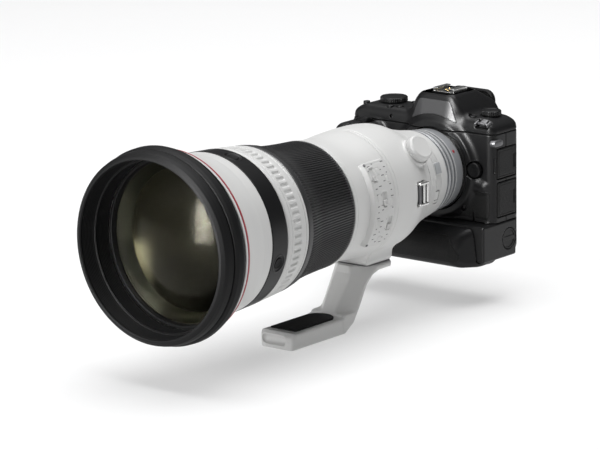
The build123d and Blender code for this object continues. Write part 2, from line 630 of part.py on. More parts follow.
# ---------------------------------------------------------------- camera body: monitor
SCREEN_X, SCREEN_Z = (-38.0, 44.0), (AXIS_Z - 34, AXIS_Z + 24)
SCREEN_Y = (BODY_BACK + 0.4, BODY_BACK + 6.4)
HINGE_X, HINGE_Y = 47.5, BODY_BACK + 3.4
with BuildPart() as monitor:
    add(box_between(SCREEN_X, SCREEN_Y, SCREEN_Z))
    fillet(monitor.edges().filter_by(Axis.Y), 4)
    fillet(monitor.faces().sort_by(Axis.Y)[-1].edges(), 0.8)
    add(box_between((SCREEN_X[1] - 1, HINGE_X), (HINGE_Y - 2, HINGE_Y + 2), (AXIS_Z - 12, AXIS_Z + 2)))
    with BuildSketch(Plane.XY.offset(AXIS_Z - 12)):
        with Locations((HINGE_X, HINGE_Y)):
            Circle(2.6)
    extrude(amount=14)
    with BuildSketch(Plane.XY.offset(AXIS_Z - 13)):
        with Locations((HINGE_X, HINGE_Y)):
            Circle(1.25)
    extrude(amount=16, mode=Mode.SUBTRACT)
write(monitor, "monitor")

with BuildPart() as monitor_hinge:
    for low, high in ((AXIS_Z - 18, AXIS_Z - 12.3), (AXIS_Z + 2.3, AXIS_Z + 8)):
        with BuildSketch(Plane.XY.offset(low)):
            with Locations((HINGE_X, HINGE_Y)):
                Circle(2.8)
            with Locations((HINGE_X, (HINGE_Y + BODY_BACK) / 2)):
                Rectangle(5.6, HINGE_Y - BODY_BACK)
        extrude(amount=high - low)
    with BuildSketch(Plane.XY.offset(AXIS_Z - 18)):
        with Locations((HINGE_X, HINGE_Y)):
            Circle(1.2)
    extrude(amount=26)
write(monitor_hinge, "monitor_hinge")

# ---------------------------------------------------------------- camera body: buttons, dials and levers
shutter_button = disc(Plane.XY.offset(GRIP_TOP - 4.3).shift_origin((-70, GRIP_FRONT + 8, GRIP_TOP - 4.3)), 5.5, 6)
write(shutter_button, "shutter_button")
low_shutter = disc(Plane(origin=(GRIP_LEFT + 3.4, GRIP_FRONT + 14, BODY_BOTTOM + 14), z_dir=(-1, 0, 0)), 5.0, 4.6)
write(low_shutter, "low_shutter_button")
release = disc(Plane(origin=(42, BODY_FRONT - 0.2, AXIS_Z + 3), x_dir=(1, 0, 0), z_dir=(0, -1, 0)), 6.5, 3.4)
write(release, "lens_release_button")

with BuildPart() as front_dial:
    with BuildSketch(facing_right(-75.6)):
        with Locations(FRONT_DIAL_PLACE):
            Circle(7)
    extrude(amount=11.2)
write(front_dial, "front_dial")

DIAL_SEAT = COVER_TOP + 12.3
for name, place, radius in (("top_dial", (-62, BODY_BACK - 15), 12), ("mode_dial", (42, BODY_BACK - 16), 8.5)):
    with BuildPart() as dial:
        with BuildSketch(Plane.XY.offset(DIAL_SEAT)):
            with Locations(place):
                Circle(radius)
        extrude(amount=4.5)
        chamfer(dial.faces().sort_by(Axis.Z)[-1].edges(), 0.8)
        with BuildSketch(Plane.XY.offset(DIAL_SEAT - 4)):
            with Locations(place):
                Circle(3)
        extrude(amount=5)
    write(dial, name)

with BuildPart() as rear_dial:
    with BuildSketch(facing_front(BODY_BACK + 3)):
        with Locations((-64, AXIS_Z - 24)):
            Circle(15)
    extrude(amount=2.7)
    fillet(rear_dial.faces().sort_by(Axis.Y)[-1].edges(), 0.8)
    with BuildSketch(facing_front(BODY_BACK + 1)):
        with Locations((-64, AXIS_Z - 24)):
            Circle(3)
    extrude(amount=3.3)
write(rear_dial, "rear_dial")

with BuildPart() as power_lever:
    with BuildSketch(facing_front(BODY_BACK + 2.5)):
        with Locations((-70, AXIS_Z - 55)):
            Circle(7)
        with Locations((-62, AXIS_Z - 55)):
            RectangleRounded(9, 4, 1.5)
    extrude(amount=2.2)
    with BuildSketch(facing_front(BODY_BACK + 1)):
        with Locations((-70, AXIS_Z - 55)):
            Circle(3)
    extrude(amount=3.3)
write(power_lever, "power_lever")

for name, place in (("thumb_button", (-60, AXIS_Z + 24)), ("joystick", (-60, AXIS_Z - 2))):
    key = disc(Plane(origin=(place[0], BODY_BACK - 1.9, place[1]), x_dir=(1, 0, 0), z_dir=(0, 1, 0)), 4.5, 3.7)
    write(key, name)

# Metal loops for the neck strap, one on each shoulder.
with BuildPart() as body_lugs:
    for x in (BODY_LEFT - 3, BODY_RIGHT):
        with BuildSketch(Plane.XY.offset(COVER_TOP - 10)):
            with Locations((x + 1.5, BODY_SEAM - 14)):
                Rectangle(3, 14)
                Rectangle(1.2, 10, mode=Mode.SUBTRACT)
        extrude(amount=6)
write(body_lugs, "body_lugs")
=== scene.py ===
import json
import math

import bpy
import numpy as np
from mathutils import Matrix, Vector


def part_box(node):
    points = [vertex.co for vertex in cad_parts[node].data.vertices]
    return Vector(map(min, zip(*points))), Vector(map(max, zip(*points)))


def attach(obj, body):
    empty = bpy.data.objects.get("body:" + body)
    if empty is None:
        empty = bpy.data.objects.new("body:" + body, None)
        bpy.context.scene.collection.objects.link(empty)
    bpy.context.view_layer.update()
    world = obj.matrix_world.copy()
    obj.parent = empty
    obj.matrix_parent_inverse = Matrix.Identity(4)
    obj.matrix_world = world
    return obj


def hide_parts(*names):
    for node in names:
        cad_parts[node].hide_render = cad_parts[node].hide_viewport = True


# Camera with a long white telephoto lens on its tripod foot. Helpers work in millimetres in the CAD frame.
# The lens points along -Y, its axis is parallel to Y, and stations are counted from its front lip.
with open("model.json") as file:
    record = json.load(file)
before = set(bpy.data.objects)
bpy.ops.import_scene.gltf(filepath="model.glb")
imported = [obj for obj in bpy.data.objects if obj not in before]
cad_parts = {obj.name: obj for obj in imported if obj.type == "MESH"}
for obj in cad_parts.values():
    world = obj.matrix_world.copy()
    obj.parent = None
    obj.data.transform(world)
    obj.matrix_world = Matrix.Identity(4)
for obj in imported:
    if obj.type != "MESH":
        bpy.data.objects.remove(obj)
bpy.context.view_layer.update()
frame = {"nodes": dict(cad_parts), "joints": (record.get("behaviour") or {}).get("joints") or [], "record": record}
joints = {joint["name"]: joint for joint in frame["joints"]}

MM = 0.001
TIP = 0.02  # radius at which a turned piece closes on its own axis
TRIPOD_R = 3.18  # radius of a quarter-inch screw
COARSER = 1.6  # how much wider the grids are in the quick form
X, Y, Z = (np.array(v, float) for v in ((1, 0, 0), (0, 1, 0), (0, 0, 1)))
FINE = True


def box(node):
    """Both corners of a CAD node's box."""
    return [np.array(corner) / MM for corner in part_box(node)]


def middle(node):
    return sum(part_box(node), Vector()) / 2 / MM


LIP = box("front_ring")[0][1]
AXIS = joints["collar_turn"]["pos_m"][2] / MM


# ------------------------------------------------------------------ materials
def add_node(tree, kind, inputs, **settings):
    """A new shader node whose inputs are constants or the outputs of other nodes."""
    made = tree.nodes.new(kind)
    for name, value in settings.items():
        setattr(made, name, value)
    for name, value in inputs.items():
        if isinstance(value, bpy.types.NodeSocket):
            tree.links.new(value, made.inputs[name])
        else:
            made.inputs[name].default_value = value
    return made


def fading(tree, distance, start, end, near, far):
    """A smooth change from near to far between two distances."""
    inputs = {"Value": distance, "From Min": start, "From Max": end, "To Min": near, "To Max": far}
    return add_node(tree, "ShaderNodeMapRange", inputs, interpolation_type="SMOOTHSTEP").outputs["Result"]


def material(name, colour, rough, grain=0.6, depth=0.02, mottle=0.04, cells=False, **sockets):
    """A procedural finish: grain is the size of its fine relief in millimetres, depth is its height."""
    made = bpy.data.materials.new(name)
    made.use_nodes = True
    tree = made.node_tree
    shader = tree.nodes["Principled BSDF"]
    place = add_node(tree, "ShaderNodeTexCoord", {}).outputs["Object"]
    noise = {"Vector": place, "Scale": 1 / (grain * MM), "Detail": 3}
    fine = add_node(tree, "ShaderNodeTexNoise", noise).outputs["Fac"]
    broad = add_node(tree, "ShaderNodeTexNoise", {"Vector": place, "Scale": 45, "Detail": 5}).outputs["Fac"]
    height = fine
    if cells:
        pebble = add_node(tree, "ShaderNodeTexVoronoi", {}, feature="SMOOTH_F1")
        pebble.inputs["Scale"].default_value = 1 / (2.2 * grain * MM)
        tree.links.new(place, pebble.inputs["Vector"])
        joined = {0: fine, 1: pebble.outputs["Distance"]}
        height = add_node(tree, "ShaderNodeMath", joined, operation="SUBTRACT").outputs[0]
    darker, lighter = ((*(c * share for c in colour), 1) for share in (1 - mottle, 1 + mottle))
    tint = add_node(tree, "ShaderNodeMix", {"Factor": broad, "A": darker, "B": lighter}, data_type="RGBA")
    limits = {"Value": fine, "To Min": max(0.02, rough - 0.06), "To Max": min(1, rough + 0.06)}
    gloss = add_node(tree, "ShaderNodeMapRange", limits)
    tree.links.new(tint.outputs["Result"], shader.inputs["Base Color"])
    tree.links.new(gloss.outputs["Result"], shader.inputs["Roughness"])
    if depth:
        relief = add_node(tree, "ShaderNodeBump", {"Height": height, "Distance": depth * MM})
        tree.links.new(relief.outputs["Normal"], shader.inputs["Normal"])
    for socket, value in sockets.items():
        shader.inputs[socket.replace("_", " ")].default_value = value
    return made


def dark(name, shade, rough, grain, depth, mottle, specular, **more):
    """A nearly black finish; the shade is its red, green and blue."""
    return material(name, shade, rough, grain, depth, mottle, Specular_IOR_Level=specular, **more)


def metal(name, colour, rough, grain, depth, amount=1.0, mottle=0.04):
    return material(name, colour, rough, grain, depth, mottle, Metallic=amount)


ENAMEL = material("white_enamel", (0.60, 0.60, 0.592), 0.38, 0.5, 0.02, 0.02)
PLASTIC = material("white_plastic", (0.57, 0.57, 0.562), 0.45, 0.35, 0.015, 0.02)
PALE_GREY = material("pale_grey_mark", (0.34, 0.35, 0.36), 0.5, 0.3, 0.01)
MARK = material("dark_mark", (0.12, 0.12, 0.125), 0.55, 0.3, 0.01)
RED = material("red_line", (0.30, 0.022, 0.034), 0.4, 0.3, 0.01)
BOARD = material("circuit_board", (0.02, 0.10, 0.05), 0.5, 0.5, 0.03, 0.2)
SCREEN = material("dark_screen", (0.008, 0.008, 0.010), 0.12, 0.8, 0.002, Coat_Weight=0.6)
RUBBER = dark("black_rubber", (0.0062, 0.0062, 0.0066), 0.55, 0.45, 0.04, 0.15, 0.13)
RIBBED = dark("ribbed_rubber", (0.026, 0.026, 0.027), 0.38, 0.4, 0.02, 0.1, 0.55)
BAFFLE = dark("matte_baffle", (0.005, 0.005, 0.005), 0.45, 0.5, 0.03, 0.1, 0.16)
SATIN = dark("satin_black", (0.008, 0.008, 0.0085), 0.36, 0.4, 0.012, 0.06, 0.2)
BODY = dark("body_satin", (0.0085, 0.0085, 0.009), 0.37, 0.28, 0.025, 0.08, 0.24)
# The hump plate is a real smooth plate; its grey is lighter than the body's partly as a painted sheen for the
# light it reflects.
PLATE_WITH_SHEEN = dark("hump_plate_satin_painted_sheen", (0.04, 0.04, 0.042), 0.38, 0.3, 0.02, 0.06, 0.6)
LEATHER = dark("leather_grain", (0.008, 0.008, 0.008), 0.5, 0.5, 0.2, 0.1, 0.2, cells=True)
GREY_METAL = metal("anodised_grey", (0.33, 0.34, 0.355), 0.3, 0.25, 0.01, 0.3)
DARK_METAL = metal("dark_metal", (0.13, 0.13, 0.135), 0.38, 0.3, 0.015, 0.7)
STEEL = metal("bright_steel", (0.62, 0.62, 0.61), 0.26, 0.2, 0.006)
BRASS = metal("plated_contacts", (0.80, 0.60, 0.28), 0.25, 0.2, 0.005)
WALL = metal("olive_cell_wall", (0.06, 0.06, 0.045), 0.34, 1, 0.01, mottle=0.1)
COATED = metal("coated_inner_glass", (0.0100, 0.0094, 0.0060), 0.15, 8, 0, mottle=0)
GLASS = material("front_glass", (0.95, 0.95, 0.90), 0.12, 6, 0, 0, Transmission_Weight=1.0, IOR=1.165,
    Specular_Tint=(1.0, 0.96, 0.78, 1))
BY_SLOT = {"white_paint": ENAMEL, "white_plastic": PLASTIC, "black_rubber": RUBBER, "black_paint": SATIN,
    "red_paint": RED, "body_plastic": BODY, "grip_rubber": LEATHER, "grey_metal": GREY_METAL,
    "bright_steel": STEEL, "glass": GLASS, "screen": SCREEN, "board": BOARD, "brass_contact": BRASS}
SLOT_OF_NODE = {part["node"]: part["material_slot"] for part in frame["record"]["subparts"]}
for node, shape in frame["nodes"].items():
    for holder in shape.material_slots:
        holder.material = BY_SLOT[SLOT_OF_NODE[node]]


# ------------------------------------------------------------------ mesh helpers
def piece(name, points, faces, finish, body, stands_for=(), sharp=38, normals=None):
    """A mesh from points in millimetres that rides a body and may stand for CAD nodes."""
    points, faces = np.asarray(points, float), np.asarray(faces)
    corner = points[faces]
    volume = np.einsum("ij,ij->i", corner[:, 0], np.cross(corner[:, 1], corner[:, 2])).sum()
    if faces.shape[1] == 4:
        volume += np.einsum("ij,ij->i", corner[:, 0], np.cross(corner[:, 2], corner[:, 3])).sum()
    if volume < 0:
        faces = faces[:, ::-1]
    mesh = bpy.data.meshes.new(name)
    mesh.from_pydata((points * MM).tolist(), [], faces.tolist())
    mesh.materials.append(finish)
    mesh.shade_smooth()
    if normals is None:
        mesh.set_sharp_from_angle(angle=math.radians(sharp))
    else:
        mesh.normals_split_custom_set_from_vertices(normals.tolist())
    shape = bpy.data.objects.new(name, mesh)
    bpy.context.scene.collection.objects.link(shape)
    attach(shape, body)
    for node in stands_for:
        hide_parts(node)


def soften(outline, radius, closed=True, steps=4):
    """The outline with its corners replaced by short curves."""
    line = [np.array(point, float) for point in outline]
    made = []
    for i, here in enumerate(line):
        if not closed and i in (0, len(line) - 1):
            made.append(here)
            continue
        back, ahead = line[i - 1] - here, line[(i + 1) % len(line)] - here
        lengths = np.linalg.norm(back), np.linalg.norm(ahead)
        cosine = np.clip(back @ ahead / (lengths[0] * lengths[1]), -1, 1)
        cut = radius / max(math.tan(math.acos(cosine) / 2), 1e-6)
        cut = min(cut, 0.45 * lengths[0], 0.45 * lengths[1])
        if cut < 0.02:
            made.append(here)
            continue
        first, last = here + back / lengths[0] * cut, here + ahead / lengths[1] * cut
        for t in np.linspace(0, 1, steps + 1):
            made.append(first * (1 - t) ** 2 + 2 * here * t * (1 - t) + last * t**2)
    return made


def subdivided(line, pitch, closed):
    """The line with no stretch longer than pitch."""
    made = []
    ends = line[1:] + line[:1] if closed else line[1:]
    for start, end in zip(line, ends):
        count = max(1, math.ceil(np.linalg.norm(end - start) / pitch))
        made += [start + (end - start) * i / count for i in range(count)]
    return made if closed else made + [line[-1]]


def seat(origin, out, along):
    """A place on a surface: origin, direction outwards, and the direction of its first side."""
    out = np.array(out, float) / np.linalg.norm(out)
    along = np.array(along, float)
    along = along - out * (along @ out)
    along /= np.linalg.norm(along)
    return np.array(origin, float), out, along, np.cross(out, along)


def on_barrel(station, angle, radius):
    """A seat on the lens barrel; the angle is counted from +X towards +Z in degrees."""
    turn = math.radians(angle)
    out = (math.cos(turn), 0, math.sin(turn))
    return seat((radius * out[0], LIP + station, AXIS + radius * out[2]), out, Y)


LENS = (np.array((0, LIP, AXIS)), Y, X, Z)


def lathe(name, outline, finish, body, stands_for=(), where=LENS, segments=240, edge=0.4, pitch=0,
        relief=None, closed=True, sharp=38):
    """A turned piece; the outline is (distance along the axis, radius)."""
    line = soften(outline, edge, closed)
    if pitch:
        line = subdivided(line, pitch, closed)
    line = np.array(line)
    turn = np.arange(segments) / segments * 2 * math.pi
    station, radius, _ = np.broadcast_arrays(line[:, :1], line[:, 1:], turn)
    if relief:
        radius = radius + relief(station, radius, turn[None, :])
    origin, out, along, across = where
    round_it = np.cos(turn)[:, None] * along + np.sin(turn)[:, None] * across
    points = origin + station[..., None] * out + radius[..., None] * round_it
    grid = np.arange(station.size).reshape(station.shape)
    lower = grid if closed else grid[:-1]
    upper = np.roll(grid, -1, 0) if closed else grid[1:]
    faces = np.stack([lower, np.roll(lower, -1, 1), np.roll(upper, -1, 1), upper], -1).reshape(-1, 4)
    piece(name, points.reshape(-1, 3), faces, finish, body, stands_for, sharp)


def cap(name, outline, finish, body, stands_for, where, segments=48, edge=0.25, **more):
    """A turned piece with a full face; its outline ends at the tip of the face."""
    lathe(name, [*outline, (outline[0][0], TIP)], finish, body, stands_for, where, segments, edge,
        closed=False, **more)


def ridges(start, end, count, depth):
    """Outline points of small saw teeth between two outline points."""
    start, end = np.array(start, float), np.array(end, float)
    made = []
    for i in range(count):
        here, after = start + (end - start) * i / count, start + (end - start) * (i + 0.75) / count
        made += [here, after + (0, depth)]
    return made + [end]


def rectangle(width, height, corner, per_corner=6):
    """A rounded rectangle as points around its centre."""
    corner = min(corner, width / 2 - 0.01, height / 2 - 0.01)
    turn = np.concatenate([np.linspace(q, q + 1, per_corner) * math.pi / 2 for q in range(4)])
    centre = np.repeat([(1, 1), (-1, 1), (-1, -1), (1, -1)], per_corner, 0)
    return centre * (width / 2 - corner, height / 2 - corner) + corner * np.stack([np.cos(turn),
        np.sin(turn)], -1)


def plate(name, where, size, levels, finish, body, stands_for=(), corner=1.0):
    """A rounded plate built up from levels of (inset, height) over its seat."""
    origin, out, along, across = where
    loops = []
    for inset, height in levels:
        flat = rectangle(size[0] - 2 * inset, size[1] - 2 * inset, max(0.05, corner - inset))
        loops.append(origin + flat[:, :1] * along + flat[:, 1:] * across + height * out)
    count = len(loops[0])
    points = np.concatenate([*loops, [loops[0].mean(0)], [loops[-1].mean(0)]])
    faces = []
    for start in range(0, (len(loops) - 1) * count, count):
        for i in range(count):
            j = (i + 1) % count
            faces.append((start + i, start + j, start + count + j, start + count + i))
    bottom, top = len(points) - 2, len(points) - 1
    last = (len(loops) - 1) * count
    for i in range(0, count, 2):
        j, k = (i + 1) % count, (i + 2) % count
        faces += [(i, bottom, k, j), (last + i, last + j, last + k, top)]
    piece(name, points, faces, finish, body, stands_for)


def raised(height, edge=0.3, sink=0.4):
    """Levels of a plain plate with a rounded top edge."""
    curve = np.linspace(0, math.pi / 2, 5)
    return [(0, -sink), *((edge * (1 - math.cos(t)), height - edge * (1 - math.sin(t))) for t in curve)]


def step(value, low, high):
    """0 below low, 1 above high, smooth between."""
    t = np.clip((value - low) / (high - low), 0, 1)
    return t * t * (3 - 2 * t)


def bump(away, width):
    """1 where away is zero, falling off on both sides."""
    return np.exp(-(away / width) ** 2)


def panel_distance(u, v, half_u, half_v, corner):
    """Signed distance to a rounded rectangle around zero."""
    qu, qv = np.abs(u) - half_u + corner, np.abs(v) - half_v + corner
    return np.hypot(np.maximum(qu, 0), np.maximum(qv, 0)) + np.minimum(np.maximum(qu, qv), 0) - corner


# ------------------------------------------------------------------ solid modelling by distance fields
def sd_box(p, low, high, r):
    q = [abs(p[i] - (low[i] + high[i]) / 2) - (high[i] - low[i]) / 2 + r for i in range(3)]
    outside = np.sqrt(sum(np.maximum(v, 0) ** 2 for v in q))
    return outside + np.minimum(np.maximum(np.maximum(q[0], q[1]), q[2]), 0) - r


def sd_plane(p, point, normal):
    n = np.array(normal, float) / np.linalg.norm(normal)
    return sum((p[i] - point[i]) * n[i] for i in range(3) if n[i])


def sd_rod(p, a, b, r):
    """A round-ended rod from a to b."""
    a, b = np.array(a, float), np.array(b, float)
    d = b - a
    t = np.clip(sum((p[i] - a[i]) * d[i] for i in range(3)) / (d @ d), 0, 1)
    return np.sqrt(sum((p[i] - a[i] - t * d[i]) ** 2 for i in range(3))) - r


def sd_drum(p, axis, centre, radius, low, high, r=0.0):
    """A cylinder along axis 0, 1 or 2 from low to high."""
    i, j = [k for k in range(3) if k != axis]
    across = np.hypot(p[i] - centre[0], p[j] - centre[1]) - radius + r
    length = np.maximum(low - p[axis], p[axis] - high) + r
    return np.hypot(np.maximum(across, 0), np.maximum(length, 0)) + np.minimum(np.maximum(across, length),
        0) - r


def sd_outline(u, v, outline):
    """Signed distance to a polygon in two coordinates."""
    best, inside = 1e9, False
    for (au, av), (bu, bv) in zip(outline, outline[1:] + outline[:1]):
        eu, ev = bu - au, bv - av
        t = np.clip(((u - au) * eu + (v - av) * ev) / (eu * eu + ev * ev), 0, 1)
        best = np.minimum(best, np.hypot(u - au - t * eu, v - av - t * ev))
        slope = eu / ev if ev else 0.0
        inside = inside ^ (((av > v) != (bv > v)) & (u < au + (v - av) * slope))
    return np.where(inside, -best, best)


def union(a, b, k=0.0):
    """Both shapes; k is the width of the fillet between them."""
    if k <= 0:
        return np.minimum(a, b)
    h = np.clip(0.5 + 0.5 * (b - a) / k, 0, 1)
    return b * (1 - h) + a * h - k * h * (1 - h)


def meet(a, b, k=0.0):
    return -union(-a, -b, k)


def carve(a, b, k=0.0):
    return meet(a, -b, k)


def carve_all(solid, *cuts):
    """The solid after a row of (shape, rounding) cuts."""
    for shape, k in cuts:
        solid = carve(solid, shape, k)
    return solid


def meet_all(solid, *parts):
    for shape, k in parts:
        solid = meet(solid, shape, k)
    return solid


def slope(field, p, pitch):
    """The field's gradient at the points."""
    e = 0.15 * pitch
    return np.stack([field([p[:, i] + e * (i == k) for i in range(3)])
        - field([p[:, i] - e * (i == k) for i in range(3)]) for k in range(3)], -1) / (2 * e)


def surface(name, field, low, high, pitch, finish, body, stands_for=()):
    """A mesh of the surface where the field is zero, with the field's own normals."""
    if not FINE:
        pitch *= COARSER
    axes = [np.arange(low[i] - 2 * pitch, high[i] + 2 * pitch, pitch) for i in range(3)]
    grid = np.meshgrid(*axes, indexing="ij", sparse=True)
    value = np.broadcast_to(field(grid), tuple(len(a) for a in axes)).astype(np.float32)
    sign = value < 0
    corners = [(i, j, k) for i in (0, 1) for j in (0, 1) for k in (0, 1)]
    shape = tuple(n - 1 for n in value.shape)

    def at(source, c):
        return source[c[0]:c[0] + shape[0], c[1]:c[1] + shape[1], c[2]:c[2] + shape[2]]

    count = sum(at(sign, c).astype(np.int8) for c in corners)
    mixed = (count > 0) & (count < 8)
    cells = np.argwhere(mixed)
    number = np.full(shape, -1, np.int64)
    number[mixed] = np.arange(len(cells))
    total, hits = np.zeros((len(cells), 3)), np.zeros(len(cells))
    for a in corners:
        for axis in range(3):
            if a[axis]:
                continue
            b = tuple(v + (axis == i) for i, v in enumerate(a))
            da, db = at(value, a)[mixed], at(value, b)[mixed]
            cut = (da < 0) != (db < 0)
            t = np.where(cut, da / np.where(cut, da - db, 1), 0)
            total += (np.array(a, float) + t[:, None] * np.eye(3)[axis]) * cut[:, None]
            hits += cut
    points = np.array([a[0] for a in axes]) + (cells + total / hits[:, None]) * pitch
    for _ in range(2):
        gradient = slope(field, points, pitch)
        size = np.maximum((gradient**2).sum(1), 0.2)
        move = field([points[:, i] for i in range(3)])[:, None] * gradient / size[:, None]
        points = points - np.clip(move, -0.4 * pitch, 0.4 * pitch)
    normals = slope(field, points, pitch)
    normals /= np.maximum(np.linalg.norm(normals, axis=1), 1e-9)[:, None]
    faces = []
    for axis in range(3):
        i, j = [k for k in range(3) if k != axis]
        first = [slice(0, -1) if k == axis else slice(1, -1) for k in range(3)]
        second = [slice(1, None) if k == axis else slice(1, -1) for k in range(3)]
        crossed = np.argwhere(sign[tuple(first)] != sign[tuple(second)])
        crossed[:, i] += 1
        crossed[:, j] += 1
        step_i, step_j = np.eye(3, dtype=int)[i], np.eye(3, dtype=int)[j]
        quad = np.stack([number[tuple((crossed - shift).T)] for shift in (0 * step_i, step_i, step_i + step_j,
            step_j)], -1)
        turned = sign[tuple(crossed.T)] ^ (axis == 1)
        faces.append(np.where(turned[:, None], quad, quad[:, ::-1]))
    faces = np.concatenate(faces)
    piece(name, points, faces[(faces >= 0).all(1)], finish, body, stands_for, normals=normals)


# ------------------------------------------------------------------ lens: front ring and glass
FRONT_R = box("front_ring")[1][0]
BUMPER = [(0, 7.8), (0.6, 5.9), (2.8, 3.3), (6, 2.4), (11.2, 1.8), (11.5, 3.2), (12.9, 3.2), (13.3, 1.6),
    (16, 0.2), (21, 0), (24.5, 1.2), (27.6, 4.4), (28.2, 5.2)]
lathe("front_bumper", [*((station, FRONT_R - inset) for station, inset in BUMPER), (28.2, 70.5), (32.8, 70.5),
    (32.8, 69), *ridges((31.6, 69), (18.6, 69), 8, 0.45), (17.6, 68.6), (16.8, 68.6), (16.6, 70.2),
    *ridges((15.6, 70.4), (3, 71), 8, 0.5), (1.4, 70.8)], RUBBER, "lens", ["front_ring"], segments=320,
    edge=0.5)
lathe("inner_step_line", [(16.2, 68.4), (17.3, 68.4), (17.3, 69.4), (16.2, 69.4)], SATIN, "lens", edge=0.2)
lathe("white_strip_ring", [(28.3, 76.0), (31.2, 75.3), (31.2, 71), (28.3, 71)], ENAMEL, "lens", edge=0.2)
lathe("red_line_ring", [(31.3, 75.6), (33.6, 75.0), (33.6, 71.2), (31.3, 71.2)], RED, "lens", ["red_ring"],
    edge=0.25)
lathe("glass_cell", [(32.8, 66.4), (32.8, 68.8), (50, 65.4), (62, 60.4), (62, 58.8), (49, 58.6), (39.4, 65.4),
    (36.4, 65.2)], BAFFLE, "lens", ["element_cell"], edge=0.25)


def bowed(centre, edge, radius, count=36):
    """Outline points of a spherical face from its middle to its rim."""
    bend = edge - centre
    ball = (radius**2 + bend**2) / (2 * bend)
    return [(centre + ball - math.copysign(math.sqrt(ball**2 - r * r), ball), r)
        for r in np.linspace(TIP, radius, count)]


lathe("front_glass_element", bowed(15.6, 36.8, 65) + [(39, 65)] + bowed(18.2, 39.2, 64.4)[::-1], GLASS,
    "lens", ["front_element"], edge=0.05, closed=False, segments=160)
lathe("second_glass_element", bowed(61, 48.4, 58) + [(65, 57.2), (65, TIP)], COATED, "lens", ["inner_glass"],
    edge=0.05, closed=False, segments=160)
lathe("cell_wall", [(48.5, 57.9), (39.6, 64.7), (39.6, 65.3), (48.7, 58.5)], WALL, "lens", edge=0.1)

# ------------------------------------------------------------------ lens: white front barrel and black band
lathe("front_white_barrel", [(33.6, 73.9), (48, 69.2), (62, 66), (73, 65.05), (73, 61), (60, 63), (46, 66.9),
    (33.6, 71.4)], ENAMEL, "lens", ["front_barrel"], edge=0.35, pitch=4)
lathe("inner_tube", [(66, 57.3), (121.2, 57.3), (127.2, 49.4), (193.6, 49.4), (193.6, 47.2), (124, 47.2),
    (119, 55), (66, 55)], SATIN, "lens", edge=0.3)

BUTTONS = {n: joints[f"function_press_{n}"]["axis"] for n in (1, 2, 3, 4)}
BUTTON_TURNS = [math.atan2(-axis[2], -axis[0]) for axis in BUTTONS.values()]
BAND_MIDDLE = middle("function_button_2").y - LIP
BAND_R, KEY_R = 64.5, 63.9


def band_relief(station, radius, turn):
    """A rimmed recess round each function button."""
    depth = 0
    for spot in BUTTON_TURNS:
        arc = ((turn - spot + math.pi) % (2 * math.pi) - math.pi) * BAND_R
        away = np.hypot((station - BAND_MIDDLE) / 0.95, arc)
        depth = depth + np.where(radius > 63, 0.28 * bump(away - 7.4, 0.5) - 0.7 * (1 - step(away, 6.2, 7.0)),
            0)
    return depth


lathe("function_band", [(73.1, 64.9), (73.8, 65.4), (92.8, 64.3), (93.7, 63.8), (93.7, 60), (73.1, 60)],
    SATIN, "lens", ["button_band"], segments=900, pitch=0.5, edge=0.35, relief=band_relief, sharp=50)
for n, (x, _, z) in BUTTONS.items():
    key = f"function_button_{n}"
    cap(f"function_key_{n}", [(-1.4, 4.9), (0.35, 4.9), (0.9, 4.2), (0.8, 3.6), (0.55, 3), (0.5, TIP)],
        RUBBER, key, [key], seat((-x * KEY_R, middle(key).y, AXIS - z * KEY_R), (-x, 0, -z), Y), 64, 0.3)

# ------------------------------------------------------------------ lens: control and focus rings
NOTCHES, RIBS = 66, 160
NOTCH_R = 62.8


def notch_relief(station, radius, turn):
    width = 2 * math.pi / NOTCHES
    arc = ((turn + width / 2) % width - width / 2) * NOTCH_R
    away = panel_distance(station - 108, arc, 4.9, 1.6, 0.9)
    return np.where(radius > 60, -1.25 * (1 - step(away, -0.8, 0.4)), 0)


lathe("control_grip_ring", [(94.3, 62.4), (95.1, 63.4), (97, 63.9), (99.6, 63.7), (99.8, 63.3), (100.2, 63.3),
    (100.4, 63.65), (113.5, 62.5), (119, 62.0), (119.2, 61.4), (119.8, 61.4), (120.0, 61.9), (122.4, 61.6),
    (123.1, 61.1), (123.1, 58), (94.3, 58)], PLASTIC, "control_ring", ["control_ring"], segments=NOTCHES * 12,
    pitch=0.45, relief=notch_relief, sharp=50)


def rib_relief(station, radius, turn):
    wave = 0.5 + 0.5 * np.cos(RIBS * turn)
    length = step(station, 129.4, 130.2) * (1 - step(station, 190.6, 191.2))
    return np.where(radius > 52.5, -1.15 * length * (1 - step(wave, 0.3, 0.75)), 0)


lathe("focus_grip_ring", [(123.5, 60.7), (124.2, 61.5), (128.8, 61.1), (131, 60.7), (136, 59.7), (140, 58.5),
    (146, 57.1), (152, 56.2), (162, 55.1), (172, 54.4), (182, 53.8), (192.2, 53.4), (192.8, 52.9),
    (192.8, 50.3), (150, 50.3), (130, 54.6), (127.9, 57.9), (123.5, 57.9)], RIBBED, "focus_ring",
    ["focus_ring"], segments=RIBS * 8, pitch=1.5, edge=0.5, relief=rib_relief, sharp=60)

# ------------------------------------------------------------------ lens: main barrel and switch panel
BARREL = [(205, 52.1), (214, 51.5), (222, 51.9), (232, 52.7), (240, 53.2)]
lathe("rear_white_barrel", [(193.2, 52.4), (193.6, 53.3), (196.4, 53.2), (196.7, 52.7), (197.1, 52.7),
    (197.4, 53.0), *BARREL, (245.2, 53.4), (245.7, 52.9), (245.7, 48.6), (284, 48.4), (292, 44.5),
    (306.2, 40), (306.2, 38), (290, 42), (282, 46), (193.2, 46)], ENAMEL, "lens", ["main_barrel"],
    segments=320, edge=0.3)

PANEL = [corner[1] - LIP for corner in box("switch_panel")]
PANEL_MIDDLE, PANEL_HALF = sum(PANEL) / 2, (PANEL[1] - PANEL[0]) / 2
PANEL_SWEEP, PANEL_R, PANEL_SKIRT = 41.0, 56.0, 1.5
SLIDERS = {}
for n in (1, 2, 3):
    spot = middle(f"slide_switch_{n}")
    SLIDERS[n] = spot.y - LIP, math.degrees(math.atan2(spot.z - AXIS, spot.x))


